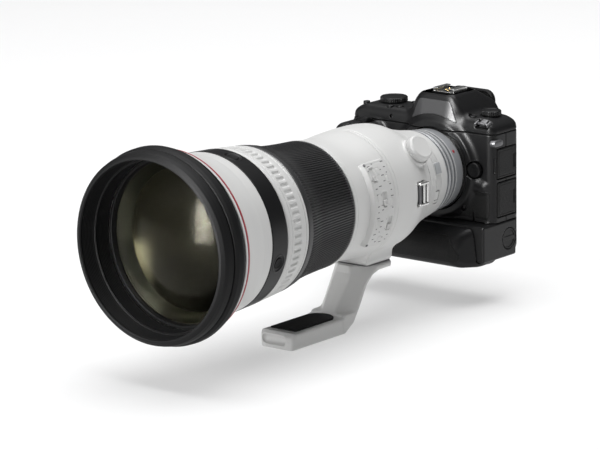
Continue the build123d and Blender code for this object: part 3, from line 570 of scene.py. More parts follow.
def panel_radius(station, angle):
    """The switch panel's surface, with slots for the slide switches and oval marks."""
    arc = np.radians(angle - 1) * PANEL_R
    away = panel_distance(station - PANEL_MIDDLE, arc, PANEL_HALF, math.radians(PANEL_SWEEP) * PANEL_R, 3)
    barrel = np.interp(station, *zip(*BARREL, (246, 53.4)))
    top = PANEL_R + 0.02 * (station - PANEL_MIDDLE)
    height = barrel - 0.6 + (top - barrel + 0.6) * step(-away, 0, 2.4) - 0.22 * bump(away + 4.2, 0.35)
    for spot, turn in SLIDERS.values():
        slot = panel_distance(station - spot, np.radians(angle - turn - 3) * PANEL_R, 2.6, 6.0, 1.2)
        height = height + 0.35 * bump(slot - 0.9, 0.45) - 1.3 * (1 - step(slot, -0.2, 0.3))
    for spot, turn in ((221, 8), (221, -14), (229, 30), (229, -30), (237, 22), (237, 2)):
        oval = panel_distance(station - spot, np.radians(angle - turn) * PANEL_R, 2.1, 3.4, 2.0)
        height = height - 0.35 * bump(oval, 0.35) + 0.25 * (1 - step(oval, -1.0, -0.4))
    return height


fine = 0.32 if FINE else 0.9
station, angle = np.meshgrid(np.arange(PANEL[0] + 0.05, PANEL[1], fine),
    np.arange(-PANEL_SWEEP, PANEL_SWEEP, fine) + 1, indexing="ij")
height = panel_radius(station, angle)
rim = np.ones(station.shape, bool)
rim[1:-1, 1:-1] = False
height[rim] -= PANEL_SKIRT
turn = np.radians(angle)
grid = np.arange(station.size).reshape(station.shape)
points = np.stack([height * np.cos(turn), LIP + station, AXIS + height * np.sin(turn)], -1)
faces = np.stack([grid[:-1, :-1], grid[1:, :-1], grid[1:, 1:], grid[:-1, 1:]], -1)
piece("switch_panel_cover", points.reshape(-1, 3), faces.reshape(-1, 4), PLASTIC, "lens", ["switch_panel"],
    sharp=70)
for n, (station, turn) in SLIDERS.items():
    plate(f"slider_{n}", on_barrel(station, turn, PANEL_R - 0.9), (4.4, 4.8),
        raised(1.9, 0.25) + [(0.7, 1.9), (1.0, 1.4)], PLASTIC, f"slide_switch_{n}", [f"slide_switch_{n}"],
        0.9)
    for m, side in enumerate((-1, 1)):
        plate(f"slider_mark_{n}_{m}", on_barrel(station - 4.3, turn + 3 + side * 4.4, PANEL_R - 0.02),
            (1.3, 0.45), raised(0.12, 0.03), MARK, "lens", corner=0.1)
for n, turn in enumerate(range(-34, 37, 5)):
    for m, station in enumerate((220.4, 225.6, 232.4, 238.2)):
        clear = all(abs(station - at) > 3.6 or abs(turn - way - 3) > 7.5 for at, way in SLIDERS.values())
        if (3 * n + 5 * m) % 4 and clear:
            radius = PANEL_R - 0.03 + 0.02 * (station - PANEL_MIDDLE)
            plate(f"panel_tick_{n}_{m}", on_barrel(station, turn + (m % 2) * 1.5, radius),
                (1.5 + 0.9 * ((n + m) % 3), 0.75), raised(0.1, 0.03), MARK, "lens", corner=0.15)
for n, (station, turn) in enumerate(((216.6, 38), (240.6, 39), (216.8, -35), (241, -37))):
    lathe(f"panel_screw_{n}", [(-0.3, 1.25), (0.18, 1.25), (0.3, 1.0), (0.3, 0.5), (0.0, 0.35), (0.0, TIP)],
        DARK_METAL, "lens", where=on_barrel(station, turn, PANEL_R - 0.25), segments=40, edge=0.08,
        closed=False)

# ------------------------------------------------------------------ lens: rear barrel, filter holder, mount
FILTER_AXIS = joints["filter_pull"]["axis"]
FILTER_TURN = math.degrees(math.atan2(FILTER_AXIS[2], FILTER_AXIS[0]))
FILTER_STATION = middle("filter_holder").y - LIP
_, FILTER_OUT, _, FILTER_ACROSS = seat((0, 0, 0), FILTER_AXIS, Y)


def around(p):
    """Station and radius about the lens axis."""
    return p[1] - LIP, np.hypot(p[0], p[2] - AXIS)


def filter_window(p, spare):
    """The box that the filter holder's stem and cap fill, from the axis outwards."""
    up, side = (p[0] * way[0] + (p[2] - AXIS) * way[2] for way in (FILTER_OUT, FILTER_ACROSS))
    shape = meet(abs(p[1] - LIP - FILTER_STATION) - 4.5 - spare, abs(side) - 27.5 - spare, 1)
    return meet(shape, -up)


def rear_barrel_field(p):
    ring = [(306.4, 44.1), (314, 42), (326, 39.3), (337.9, 37.3), (337.9, 33), (306.4, 38)]
    return carve(sd_outline(*around(p), ring), filter_window(p, 0.3), 0.2)


surface("rear_tapered_barrel", rear_barrel_field, (-45, LIP + 306, AXIS - 45), (45, LIP + 338.4, AXIS + 45),
    0.62, ENAMEL, "lens", ["rear_barrel"])


def filter_field(p):
    station, radius = around(p)
    front, back = FILTER_STATION - 4.6, FILTER_STATION + 4.6
    cover = sd_outline(station, radius, [(front, 41.35), (back, 39.25), (back, 35), (front, 35)])
    slab = abs(station - FILTER_STATION) - 3
    ring = meet(meet(radius - 27.5, 23.5 - radius), slab)
    stem = meet(meet(meet(filter_window(p, -1.5), radius - 36), 27 - radius), slab)
    return union(union(meet(cover, filter_window(p, 0), 0.3), ring), stem)


surface("drop_in_holder", filter_field, (-29, LIP + 316, AXIS - 30), (45, LIP + 328, AXIS + 45), 0.6, PLASTIC,
    "filter_holder", ["filter_holder"])
plate("holder_tab", on_barrel(FILTER_STATION, FILTER_TURN, 39.9), (7, 10), raised(2.0, 0.6), PALE_GREY,
    "filter_holder", corner=1.2)
plate("holder_tab_ridge", on_barrel(FILTER_STATION, FILTER_TURN - 6.5, 41.2), (6, 1.0), raised(0.9, 0.3),
    PLASTIC, "filter_holder", corner=0.4)
for n, (station, turn, size) in enumerate(((310, 4, (5, 7)), (318.5, -14, (7, 9)), (318.5, -14, (5.4, 7.4)))):
    radius = np.interp(station, (306, 314, 326, 338), (44.2, 42, 39.3, 37.3))
    plate(f"rear_mark_{n}", on_barrel(station, turn, radius - 0.35), size, raised(0.5 + 0.08 * n, 0.1),
        MARK if n == 1 else PLASTIC, "lens", corner=0.8)

lathe("mount_barrel", [(338.1, 36.2), (338.6, 36.9), (340.4, 36.7), (340.7, 36.2), (341.2, 36.2),
    (341.5, 36.6), (343.2, 36.4), (343.5, 35.9), (344, 35.9), (344.3, 36.2), (346, 36.0), (352, 35.3),
    (358, 34.9), (363.4, 34.5), (364, 33.9), (364, 27), (352, 28), (338.1, 33)], GREY_METAL, "lens",
    ["mount_section"], segments=256, edge=0.2)
# Thin bands on the mount section's ridges: the white ones are painted highlights and the black ones painted shade,
# standing in for light and shade on its grooves.
for n, (station, radius) in enumerate(((339.9, 36.82), (342.3, 36.58), (345, 36.18), (348.2, 35.84),
        (350.8, 35.54), (353.2, 35.32))):
    front, back = station - 0.35, station + 0.35
    lathe(f"mount_ridge_highlight_and_shade_{n}", [(front, radius), (back, radius - 0.05), (back, 35), (front, 35)],
        ENAMEL if n % 2 else SATIN, "lens", edge=0.05, segments=160)
cap("mount_index", [(-0.6, 1.7), (0.3, 1.7), (0.7, 1.1), (0.8, TIP)], RED, "lens", (),
    on_barrel(357.5, 34, 34.5), 32, 0.3)
lathe("body_mount_ring", [(167, 27.2), (167, 34.4), (167.5, 35), (175, 35), (175, 30), (169, 30),
    (168.6, 27.2)], SATIN, "camera", ["body_mount"], where=(np.array((0, 0, AXIS)), Y, X, Z), edge=0.3)

# ------------------------------------------------------------------ collar, foot and lock knob
KNOB_AXIS = np.array(joints["lock_knob_turn"]["axis"])
KNOB_MIDDLE = np.array((0, joints["lock_knob_turn"]["pos_m"][1] / MM, AXIS))
LUG_Y = middle("strap_lugs").y


def collar_field(p):
    station, radius = around(p)
    ring = sd_outline(station, radius, [(246.2, 53.2), (247, 53.5), (255, 53.8), (270, 53.7), (279, 53.1),
        (283, 52.6), (288, 51.2), (292, 49.6), (297, 47.4), (302, 45.8), (305.8, 44.3), (306, 40),
        (246.2, 40)])
    block = sd_box(p, (-22, 47.2, 52.2), (22, 84, 84), 5)
    block = meet(block, sd_plane(p, (0, 47.2, 60), (0, -1, -0.25)), 2)
    knob = KNOB_SEAT[1]
    boss = meet(sd_rod(p, KNOB_MIDDLE + 40 * knob, KNOB_MIDDLE + 60 * knob, 12.6),
        sd_plane(p, KNOB_MIDDLE + 53.1 * knob, knob), 0.6)
    solid = union(union(ring, block, 5), boss, 2.5) + 0.5 * bump(station - 249.5, 0.45) * (radius > 50)
    for side in (-1, 1):
        pocket = sd_box((p[0] * side, p[1] - LUG_Y, p[2] - AXIS), (49.2, -6.8, -10.3), (62, 6.8, 10.3), 1.6)
        solid = carve(solid, pocket, 0.8)
    bore = np.where(station < 284.4, radius - 48.8, radius - 48.8 + (station - 284.4) * 0.42)
    return carve(solid, bore, 0.1)


def knurl(station, radius, turn):
    return np.where((radius > 10.6) & (station > 0.8) & (station < 4.2),
        -0.22 * step(np.cos(40 * turn), 0.2, 0.9), 0)


KNOB_SEAT = seat(KNOB_MIDDLE + 53.5 * KNOB_AXIS, KNOB_AXIS, Y)
surface("collar_casting", collar_field, (-58, LIP + 246, 52), (58, LIP + 306, 168), 0.72, ENAMEL, "collar",
    ["collar_ring"])
plate("collar_seam_plate", seat((0, 66, 52.35), -Z, X), (41, 34), [(0, -0.3), (0, 0.3)], MARK, "collar",
    corner=5)
cap("collar_lock_knob", [(0, 10.6), (0.4, 11.3), (4.6, 11.4), (5.7, 11.1), (6.7, 10.0), (6.85, 9.2),
    (6.7, 8.9), (6.6, TIP)], PLASTIC, "lock_knob", ["lock_knob"], KNOB_SEAT, 320, 0.5, pitch=0.6,
    relief=knurl, sharp=50)
for n, turn in enumerate((47, 59)):
    plate(f"rear_index_{n}", on_barrel(325 - n, turn, 39.3), (3.4, 4.6), raised(0.7, 0.25), MARK, "lens")


def rod(name, length, radius, finish, body, where, edge=0.3):
    """A round bar from its seat outwards."""
    lathe(name, [(0, TIP), (0, radius), (length, radius), (length, TIP)], finish, body, where=where,
        segments=32, edge=edge, closed=False)


for n, side in enumerate((1, -1)):
    hub = seat((side * 49.4, LUG_Y, AXIS), side * X, Z)
    plate(f"strap_lug_base_{n}", hub, (20, 13), raised(1.6), DARK_METAL, "collar", ["strap_lugs"], 1.5)
    for m, end in enumerate((-1, 1)):
        plate(f"strap_lug_post_{n}_{m}", seat((side * 50.4, LUG_Y, AXIS + end * 8.8), side * X, Z),
            (2.2, 12.4), raised(4.8, 0.7), STEEL, "collar")
    for across, finish in ((-4.6, DARK_METAL), (0.4, STEEL), (5.2, STEEL)):
        rod(f"strap_lug_bar_{n}_{int(across + 6)}", 17.2, 1.1, finish, "collar",
            seat((side * 53.6, LUG_Y + across, AXIS - 8.6), Z, X))

FOOT_FRONT = box("foot")[0][1]
SOCKETS = (13, 4.76), (-13, TRIPOD_R)  # place along the foot and radius of its two screw sockets


def foot_field(p):
    """The foot and its neck, from its side view."""
    outline = sd_outline(p[1], p[2], [(-45, 0.5), (23.4, 0.5), (35, 7.5), (44, 20.5), (53, 36), (58, 43.5),
        (66, 46.4), (81.5, 46.8), (81.5, 51.5), (44, 51.5), (42.6, 46), (38, 38), (21, 14.5), (16, 13.6),
        (-42.4, 13.6), (-45.5, 10)]) - 0.5
    solid = meet(outline, np.abs(p[0]) - 18 - 3.4 * step(p[2], 34, 50), 3.4)
    corner = sd_box(p, (-18, FOOT_FRONT, -60), (18, 160, 120), 5.5)
    solid = meet(solid, np.where(p[1] < 20, corner, -9.0), 1.5)
    for s in (-1, 1):
        facet = meet(-sd_plane(p, (s * 7, 21.5, 14.5), (s * 0.72, -0.58, 0.36)), 16.5 - p[2], 3)
        solid = carve(solid, facet, 1.2)
    scoop = sd_rod((p[0], (p[1] + 46.2) * 1.1, p[2]), (-10.5, 0, 7.4), (5.5, 0, 7.4), 4.4)
    return carve_all(solid, (scoop, 0.7), *((sd_drum(p, 2, (0, y), r, -5, 9), 0.4) for y, r in SOCKETS))


def pad_field(p):
    """The soft pad under the carrying fingers, with its rear end following the neck."""
    plan = sd_outline(p[0], p[1], [(-12.6, -36), (12.6, -36), (12.6, 12), (9, 17.5), (4, 20.5), (0, 21.2),
        (-4, 20.5), (-9, 17.5), (-12.6, 12)]) - 0.6
    return meet(plan, np.abs(p[2] - 13.2) - 2.3, 1.1) + 0.16 * bump(plan + 2.4, 0.4)


surface("collar_foot", foot_field, (-22, FOOT_FRONT, 0), (22, 82, 52.1), 0.62, ENAMEL, "collar", ["foot"])
surface("foot_grip_pad", pad_field, (-14, -38, 11), (14, 22, 15.6), 0.45, RUBBER, "collar", ["foot_pad"])
for n, (y, r) in enumerate(SOCKETS):
    thread = [(0.9 + 0.5 * i, r - 0.7 + 0.45 * (i % 2)) for i in range(16)]
    lathe(f"foot_socket_{n}", [(0.6, r - 0.05), *thread, (8.6, r - 0.7), (8.8, TIP), (9.3, TIP),
        (9.3, r - 0.02)], STEEL, "collar", where=seat((0, y, 0), Z, X), segments=64, edge=0.1)

# ------------------------------------------------------------------ camera body
(LEFT, GRIP_Y, BOTTOM), (RIGHT, _, _) = box("front_cover")
SEAM_Y, BACK_Y = (corner[1] for corner in box("rear_cover"))
COVER_TOP, FACE_Y = box("top_cover")[0][2], 171.0
SEAM_GAP, SHELL_PITCH = 0.15, 0.72
PORTS, DOOR, BATTERY = [box("port_cover_1"), box("port_cover_2")], box("card_door"), box("battery")
RELEASE, SHUTTER, LOW_SHUTTER = (middle(f"{name}_button") for name in ("lens_release", "shutter",
    "low_shutter"))
FRONT_DIAL, TOP_DIAL, MODE_DIAL = (middle(f"{name}_dial") for name in ("front", "top", "mode"))
LATCH = middle("battery_knob")
BACK_KEYS = (-79, 139), (-70, 139), (-79, 98), (-48, 70), (-79, 72), (-26, 140), (26, 140), (40, 140)
DECK_KEYS = (-44, 180), (-52, 177), (-44, 201), (-80, 180), (33, 180)


def main_block(p):
    """The body's box with slanted lower corners, below the top cover's seam."""
    block = sd_box(p, (LEFT, FACE_Y, BOTTOM), (RIGHT, BACK_Y, 190), 7)
    for side, x in ((-1, LEFT), (1, RIGHT)):
        block = meet(block, sd_plane(p, (x - side * 9, 0, BOTTOM), (side * 1.0, 0, -1.0)), 5)
    return meet(block, sd_plane(p, (0, BACK_Y, BOTTOM + 8), (0, 0.5, -1)), 3)


def shoulders(p):
    """The top deck on both sides of the hump."""
    high, slant = COVER_TOP + 12, COVER_TOP + 11
    faces = (((0, 0, high), (0, 0, 1)), ((52, 0, slant), (0.62, 0, 0.78)),
        ((-81, 0, slant), (-0.62, 0, 0.78)), ((0, FACE_Y + 3, high), (0, -0.8, 0.6)),
        ((0, BACK_Y - 3, high), (0, 0.8, 0.6)))
    return meet_all(main_block(p), *((sd_plane(p, *face), 4) for face in faces))


def hump(p):
    """The viewfinder hump, leaning back at the front and running out over the eyepiece."""
    solid = sd_plane(p, (0, 0, 173.6), (0, -0.02, 1))
    for side in (-1, 1):
        solid = meet_all(solid, (sd_plane(p, (side * 19, 0, 173.6), (side * 0.72, 0, 0.70)), 4),
            (sd_plane(p, (side * 26, 0, 166), (side * 0.86, 0, 0.5)), 4),
            (sd_plane(p, (side * 21, FACE_Y - 1, 160), (side * 0.62, -0.78, 0.12)), 3))
    return meet_all(solid, (sd_plane(p, (0, FACE_Y - 3.0, 158), (0, -0.97, 0.2)), 5),
        (sd_plane(p, (0, BACK_Y + 11.5, 160), Y), 2), (sd_plane(p, (0, BACK_Y + 4, 171), (0, 0.55, 0.83)), 4),
        (132 - p[2], 1))


def mount_boss(p):
    """The raised collar of the body around the lens mount."""
    away = np.hypot(p[0], p[2] - AXIS)
    cone = meet(away - 43.5 + 0.55 * (FACE_Y - p[1]), FACE_Y - 4.4 - p[1], 1.5)
    return meet(cone, p[1] - FACE_Y - 8, 0.5)


def upright_grip(p):
    grip = sd_box(p, (LEFT, GRIP_Y + 0.3, BOTTOM + 4), (-54, FACE_Y + 16, 144.8), 9)
    grip = meet(grip, sd_plane(p, (-66, GRIP_Y, 90), (0.62, -0.78, 0)), 6)
    grip = meet(grip, sd_plane(p, (-70, GRIP_Y, 143), (0, -0.5, 0.86)), 4)
    return carve(grip, sd_rod(p, (-46, GRIP_Y + 16, 84), (-48, GRIP_Y + 15, 138), 9), 4)


def lower_grip(p):
    grip = sd_box(p, (LEFT + 8, GRIP_Y + 0.5, BOTTOM + 0.3), (RIGHT - 1, FACE_Y + 12, 69.5), 8)
    grip = meet(grip, sd_plane(p, (0, GRIP_Y + 0.5, 57), (0, -0.66, 0.75)), 7)
    return meet(grip, sd_plane(p, (46, GRIP_Y + 0.5, 0), (0.74, -0.67, 0.1)), 5)


def release_bulge(p):
    squashed = (p[0], FACE_Y + (p[1] - FACE_Y) * 1.5, p[2])
    return sd_rod(squashed, (38.5, FACE_Y + 1, 103), (49, FACE_Y + 1.5, 100.5), 5.2)


def body_field(p):
    """The whole body before it is split into covers."""
    solid = meet(main_block(p), shoulders(p), 0.5)
    for part, k in ((hump, 4.5), (mount_boss, 5), (upright_grip, 5), (lower_grip, 4), (release_bulge, 3)):
        solid = union(solid, part(p), k)
    return carve(solid, sd_drum(p, 1, (0, AXIS), 35.5, 150, BACK_Y - 24), 1.0)


def pocket(p, box_, spare_low, spare_high, corner):
    """A cut a little larger than a CAD node's box."""
    return sd_box(p, np.array(box_[0]) - (spare_low, 0.3, 0.3), np.array(box_[1]) + (spare_high, 0.3, 0.3),
        corner)


def openings(p, solid):
    """Pockets under the doors, the battery's bay and the tripod bore, shared by both main covers."""
    solid = carve(solid, sd_drum(p, 2, (0, 160), TRIPOD_R, BOTTOM - 3, BOTTOM + 4), 0.5)
    for low, high in PORTS:
        solid = carve(solid, pocket(p, ((high[0] - 2.4, *low[1:]), high), 0, 4, 1.6), 0.3)
    return carve_all(solid, (pocket(p, DOOR, 4, 0.2, 1.6), 0.3), (pocket(p, BATTERY, 0.4, 4, 1.8), 0.3))


def well(p, axis, centre, radius, low, high):
    return sd_drum(p, axis, centre, radius, low, high, 0.5)


def front_field(p):
    cuts = ((well(p, 1, (RELEASE.x, RELEASE.z), 7.3, FACE_Y - 9, FACE_Y + 2.2), 0.9),
        (well(p, 2, (SHUTTER.x, SHUTTER.y), 6.1, 140.6, 150), 0.9),
        (well(p, 0, (LOW_SHUTTER.y, LOW_SHUTTER.z), 5.6, LEFT - 3, LEFT + 2.6), 0.9),
        (well(p, 0, (FRONT_DIAL.y, FRONT_DIAL.z), 7.7, -76.6, -63.4), 0.6),
        (sd_box(p, (39, FACE_Y - 2, 65.5), (41, FACE_Y + 1.6, 78), 0.6), 0.3),
        (sd_box(p, (RIGHT - 2.2, 174.2, 112.5), (RIGHT + 2, 175.8, 126.5), 0.6), 0.3),
        (sd_rod(p, (30, FACE_Y - 0.2, 88), (30, FACE_Y - 0.2, 80), 2.2), 0.8),
        (sd_drum(p, 1, (-36, 152), 1.3, FACE_Y - 8, FACE_Y + 2.5), 0.3))
    solid = meet_all(body_field(p), (p[1] - SEAM_Y + SEAM_GAP, 0.9), (p[2] - COVER_TOP + SEAM_GAP, 0.9))
    return openings(p, carve_all(solid, *cuts))


def rear_field(p):
    solid = meet_all(body_field(p), (SEAM_Y + SEAM_GAP - p[1], 0.9), (p[2] - COVER_TOP + SEAM_GAP, 0.9))
    solid = union(solid, sd_rod(p, (-74, BACK_Y - 3, 124), (-56, BACK_Y - 3, 126), 4.6), 3)
    for z in (AXIS + 24, AXIS - 2):
        solid = carve(solid, well(p, 1, (-60, z), 4.9, BACK_Y - 2.6, BACK_Y + 6), 0.7)
    for spot in BACK_KEYS:
        solid = carve(solid, well(p, 1, spot, 3.1, BACK_Y - 1.4, BACK_Y + 3), 0.4)
    monitor_bay = sd_box(p, (-39.5, BACK_Y - 0.6, AXIS - 35.5), (53, BACK_Y + 3, AXIS + 25.5), 0.5)
    return openings(p, carve(solid, monitor_bay, 0.4))


def top_field(p):
    solid = meet(body_field(p), COVER_TOP + SEAM_GAP - p[2], 0.9)
    solid = carve(solid, sd_box(p, (-15, BACK_Y + 4, 150), (15, BACK_Y + 20, 167), 4), 1)
    for spot, radius in ((TOP_DIAL, 12.7), (MODE_DIAL, 9.2)):
        solid = carve(solid, well(p, 2, (spot.x, spot.y), radius, COVER_TOP + 11.2, COVER_TOP + 30), 0.6)
    for spot in DECK_KEYS:
        solid = carve(solid, well(p, 2, spot, 3.3, COVER_TOP + 10.6, COVER_TOP + 20), 0.4)
    return carve_all(solid, (sd_box(p, (41, 170, 150.5), (54.5, 178.5, 162), 2), 1.2),
        (sd_drum(p, 1, (-47.5, 150.6), 1.5, FACE_Y - 4, FACE_Y + 3), 0.3),
        (sd_box(p, (-12, 181.4, 173), (12, 204, 190), 1), 0.6))


for name, field, low, high in (("front", front_field, (LEFT, GRIP_Y, BOTTOM), (RIGHT, SEAM_Y, COVER_TOP)),
        ("rear", rear_field, (LEFT, SEAM_Y, BOTTOM), (RIGHT, BACK_Y + 2, COVER_TOP)),
        ("top", top_field, (LEFT, FACE_Y - 6, COVER_TOP), (RIGHT, BACK_Y + 12, 174.4))):
    surface(f"{name}_shell", field, low, high, SHELL_PITCH, BODY, "camera", [f"{name}_cover"])


def skin(name, region, low, high, pitch=0.7, finish=LEATHER, thick=0.5):
    """A covering that stands a little proud of the body inside a region."""
    def field(p):
        body = body_field(p)
        return meet(meet(body - thick, region(p), 0.5), -body - 1.6)

    surface(name, field, low, high, pitch, finish, "camera")


def grip_region(p):
    region = sd_box(p, (LEFT - 3, GRIP_Y - 3, 74), (-50.5, FACE_Y + 14, 138), 6)
    return carve(region, sd_drum(p, 0, (FRONT_DIAL.y, FRONT_DIAL.z), 9.5, -80, -60), 1)


def lower_region(p):
    region = sd_box(p, (LEFT + 16, GRIP_Y - 3, BOTTOM + 5), (43.5, FACE_Y - 4, 61.5), 5)
    return meet(region, sd_plane(p, (40, 0, 50), (0.8, 0, 0.6)), 2)


def cheek_region(p):
    region = sd_box(p, (18, FACE_Y - 3, 73.5), (RIGHT - 3.5, FACE_Y + 3.5, 98), 4)
    return carve_all(region, (sd_drum(p, 1, (0, AXIS), 45.5, 150, 200), 1),
        (sd_box(p, (38.4, FACE_Y - 4, 64.9), (41.6, FACE_Y + 6, 78.6), 1), 0.3))


def thumb_region(p):
    return sd_box(p, (LEFT + 3, BACK_Y - 6, 100), (-42, BACK_Y + 4, 131), 6)


def plate_region(p):
    """The smooth plate on the front of the hump, ending in an arch over the mount."""
    region = meet(np.abs(p[0]) - 21.5 + 0.42 * (p[2] - 158), p[2] - 170.5, 3)
    region = meet(region, 46.5 - np.hypot(p[0], p[2] - AXIS), 2)
    return meet(region, p[1] - FACE_Y - 1.5, 1)


skin("grip_skin", grip_region, (LEFT - 1, GRIP_Y - 1, 73), (-50, FACE_Y + 14, 139))
skin("lower_grip_skin", lower_region, (LEFT + 15, GRIP_Y - 1, 38), (44, FACE_Y, 62))
skin("cheek_skin", cheek_region, (17, FACE_Y - 5, 73), (RIGHT - 3, FACE_Y + 4, 99), 0.6)
skin("thumb_skin", thumb_region, (LEFT + 2, BACK_Y - 3, 99), (-41, BACK_Y + 3, 132))
# The plate's lighter grey is partly painted sheen.
skin("hump_plate", plate_region, (-25, FACE_Y - 8, 152), (25, FACE_Y + 3, 172), 0.5, PLATE_WITH_SHEEN, 0.45)

# ------------------------------------------------------------------ hot shoe, eyecup, monitor and doors
SHOE = SHOE_LOW, SHOE_HIGH = box("hot_shoe")


def shoe_field(p):
    (_, front, bottom), (edge, back, top) = SHOE
    solid = sd_box(p, SHOE_LOW, (edge, back, bottom + 1.2), 0.3)
    for side in (-1, 1):
        mirrored = (p[0] * side, p[1], p[2])
        wall = sd_box(mirrored, (edge - 1.6, front, bottom), SHOE_HIGH, 0.4)
        rail = sd_box(mirrored, (edge - 4.7, front, top - 1.05), SHOE_HIGH, 0.4)
        solid = union(solid, union(wall, rail), 0.3)
    return carve(solid, sd_box(p, (-3, front + 2, bottom), (3, back + 3, bottom + 4), 0.5), 0.2)


surface("accessory_shoe", shoe_field, *SHOE, 0.3, STEEL, "camera", ["hot_shoe"])
for n, (x, y) in enumerate(((0, 189), (-4.5, 193), (4.5, 193), (-4.5, 197.5), (4.5, 197.5))):
    lathe(f"shoe_contact_{n}", [(0, 1.3), (0.22, 1.3), (0.4, 0.9), (0.42, TIP)], BRASS, "camera",
        where=seat((x, y, SHOE_LOW[2] + 1.15), Z, X), segments=32, edge=0.1, closed=False)
for n, x in enumerate((-7.6, 7.6)):
    spot = (x, (SHOE_LOW[1] + SHOE_HIGH[1]) / 2 + 1, SHOE_HIGH[2] - 0.1)
    plate(f"shoe_spring_{n}", seat(spot, Z, Y), (15, 3.4), [(0, -0.1), (0, 0.0), (0.4, 0.08)], STEEL,
        "camera", corner=0.6)

CUP = box("eyecup")
CUP_MIDDLE, CUP_HALF = (CUP[0] + CUP[1]) / 2, (CUP[1] - CUP[0]) / 2


def cup_field(p):
    ring = panel_distance(p[0], p[2] - CUP_MIDDLE[2], CUP_HALF[0] - 0.8, CUP_HALF[2] - 0.8, 9)
    hole = panel_distance(p[0], p[2] - CUP_MIDDLE[2], 15.6, 9.6, 5)
    solid = meet_all(ring, (np.abs(p[1] - CUP_MIDDLE[1]) - CUP_HALF[1], 2.2), (-hole, 1.6))
    return solid + 0.25 * bump(ring + 2.6, 0.6)


surface("eyepiece_cup", cup_field, *CUP, 0.5, RUBBER, "camera", ["eyecup"])

MONITOR = box("monitor")
MONITOR_Z = (MONITOR[0][2] + MONITOR[1][2]) / 2
HINGE = np.array(joints["monitor_swing"]["pos_m"]) / MM


def monitor_field(p):
    """The monitor's case with a sunk face, its arm and its hinge barrel."""
    case = meet(panel_distance(p[0] - 3, p[2] - MONITOR_Z, 41, 29, 4), np.abs(p[1] - 213.4) - 3.0, 1.2)
    face = panel_distance(p[0] - 3, p[2] - MONITOR_Z, 37.5, 26.5, 2)
    solid = carve(case, meet(face, 216.05 - p[1], 0.2), 0.3)
    arm = sd_box(p, (42, HINGE[1] - 2, AXIS - 12), (HINGE[0], HINGE[1] + 2, AXIS + 2), 0.6)
    barrel = sd_drum(p, 2, HINGE[:2], 2.6, AXIS - 12, AXIS + 2, 0.4)
    return carve(union(union(solid, arm, 0.6), barrel, 0.5), sd_drum(p, 2, HINGE[:2], 1.3, AXIS - 14,
        AXIS + 6), 0.1)


surface("monitor_case", monitor_field, *MONITOR, 0.55, BODY, "monitor", ["monitor"])
plate("monitor_glass", seat((3, 215.85, MONITOR_Z), Y, X), (74.4, 52.4), raised(0.3, 0.15), SCREEN, "monitor",
    corner=2)


def door(name, node, side):
    """A covered door with a moulded rim and a lip for the fingernail; side is the way it faces along X."""
    low, high = box(node)
    face, lip_y = (high[0], high[1] - 5) if side > 0 else (low[0], low[1] + 2)
    lip_x, lip_z = face + 0.05 * side, (low[2] + high[2]) / 2

    def field(p):
        flat = np.minimum(np.minimum(p[1] - low[1], high[1] - p[1]),
            np.minimum(p[2] - low[2], high[2] - p[2]))
        rim = bump(flat - 2.6, 0.45) * (np.abs(p[0] - face) < 0.9)
        lip = sd_box(p, (lip_x - 0.95, lip_y, lip_z - 6), (lip_x + 0.95, lip_y + 3, lip_z + 6), 0.8)
        return carve(sd_box(p, low, high, 1.9) + 0.22 * rim, lip, 0.4)

    surface(name, field, low, high, 0.5, LEATHER, node, [node])


door("port_door_1", "port_cover_1", 1)
door("port_door_2", "port_cover_2", 1)
door("card_slot_door", "card_door", -1)
for n, (y, z, size) in enumerate(((184, 98, (5, 7)), (194, 98, (7, 3.2)), (185, 84, (8, 4.4)),
        (196, 82, (5, 5)), (186, 124, (6, 6)), (197, 124, (6, 6)), (190, 113.5, (9, 4)))):
    plate(f"socket_{n}", seat((RIGHT - 2.55, y, z), X, Y), size, [(0, -0.3), (0, 0.35), (0.4, 0.4),
        (0.8, 0.0), (0.9, -0.2)], DARK_METAL if n % 2 else SATIN, "camera", corner=min(size) / 2.2)
for n, z in enumerate((104, 116)):
    plate(f"card_slot_{n}", seat((LEFT + 2.55, 191, z), -X, Y), (22, 4.4),
        [(0, -0.3), (0, 0.3), (0.5, 0.32), (0.9, -0.2)], SATIN, "camera", corner=0.8)


def battery_field(p):
    low, high = BATTERY
    solid = sd_box(p, low, high, 1.9)
    solid = carve(solid, sd_drum(p, 0, (LATCH.y, LATCH.z), 9.35, high[0] - 2.2, high[0] + 4, 0.2), 0.3)
    for x in low[0] + 12 + 4 * np.arange(5):
        solid = carve(solid, sd_rod(p, (x, low[1] - 0.4, low[2] + 6), (x, low[1] - 0.4, high[2] - 6), 0.9),
            0.3)
    return solid


def latch_field(p):
    """The battery's turning latch: a dished disc with a bar across it, on a pin."""
    centre = (LATCH.y, LATCH.z)
    base = sd_drum(p, 0, centre, 8.9, RIGHT - 1.9, RIGHT - 0.2, 0.3)
    base = carve(base, sd_drum(p, 0, centre, 7.6, RIGHT - 0.8, RIGHT + 2, 0.2), 0.3)
    bar = sd_box(p, (RIGHT - 1.2, LATCH.y - 7.6, LATCH.z - 1.8), (RIGHT + 0.6, LATCH.y + 7.6, LATCH.z + 1.8),
        0.7)
    pin = sd_drum(p, 0, centre, 2.0, RIGHT - 2.9, RIGHT - 1, 0)
    return union(union(base, meet(bar, p[0] - RIGHT + 0.2, 0.2), 0.2), pin)


surface("battery_pack", battery_field, *BATTERY, 0.75, BODY, "battery", ["battery"])
surface("battery_latch", latch_field, (RIGHT - 3, LATCH.y - 9, LATCH.z - 9),
    (RIGHT, LATCH.y + 9, LATCH.z + 9), 0.3, SATIN, "battery_knob", ["battery_knob"])

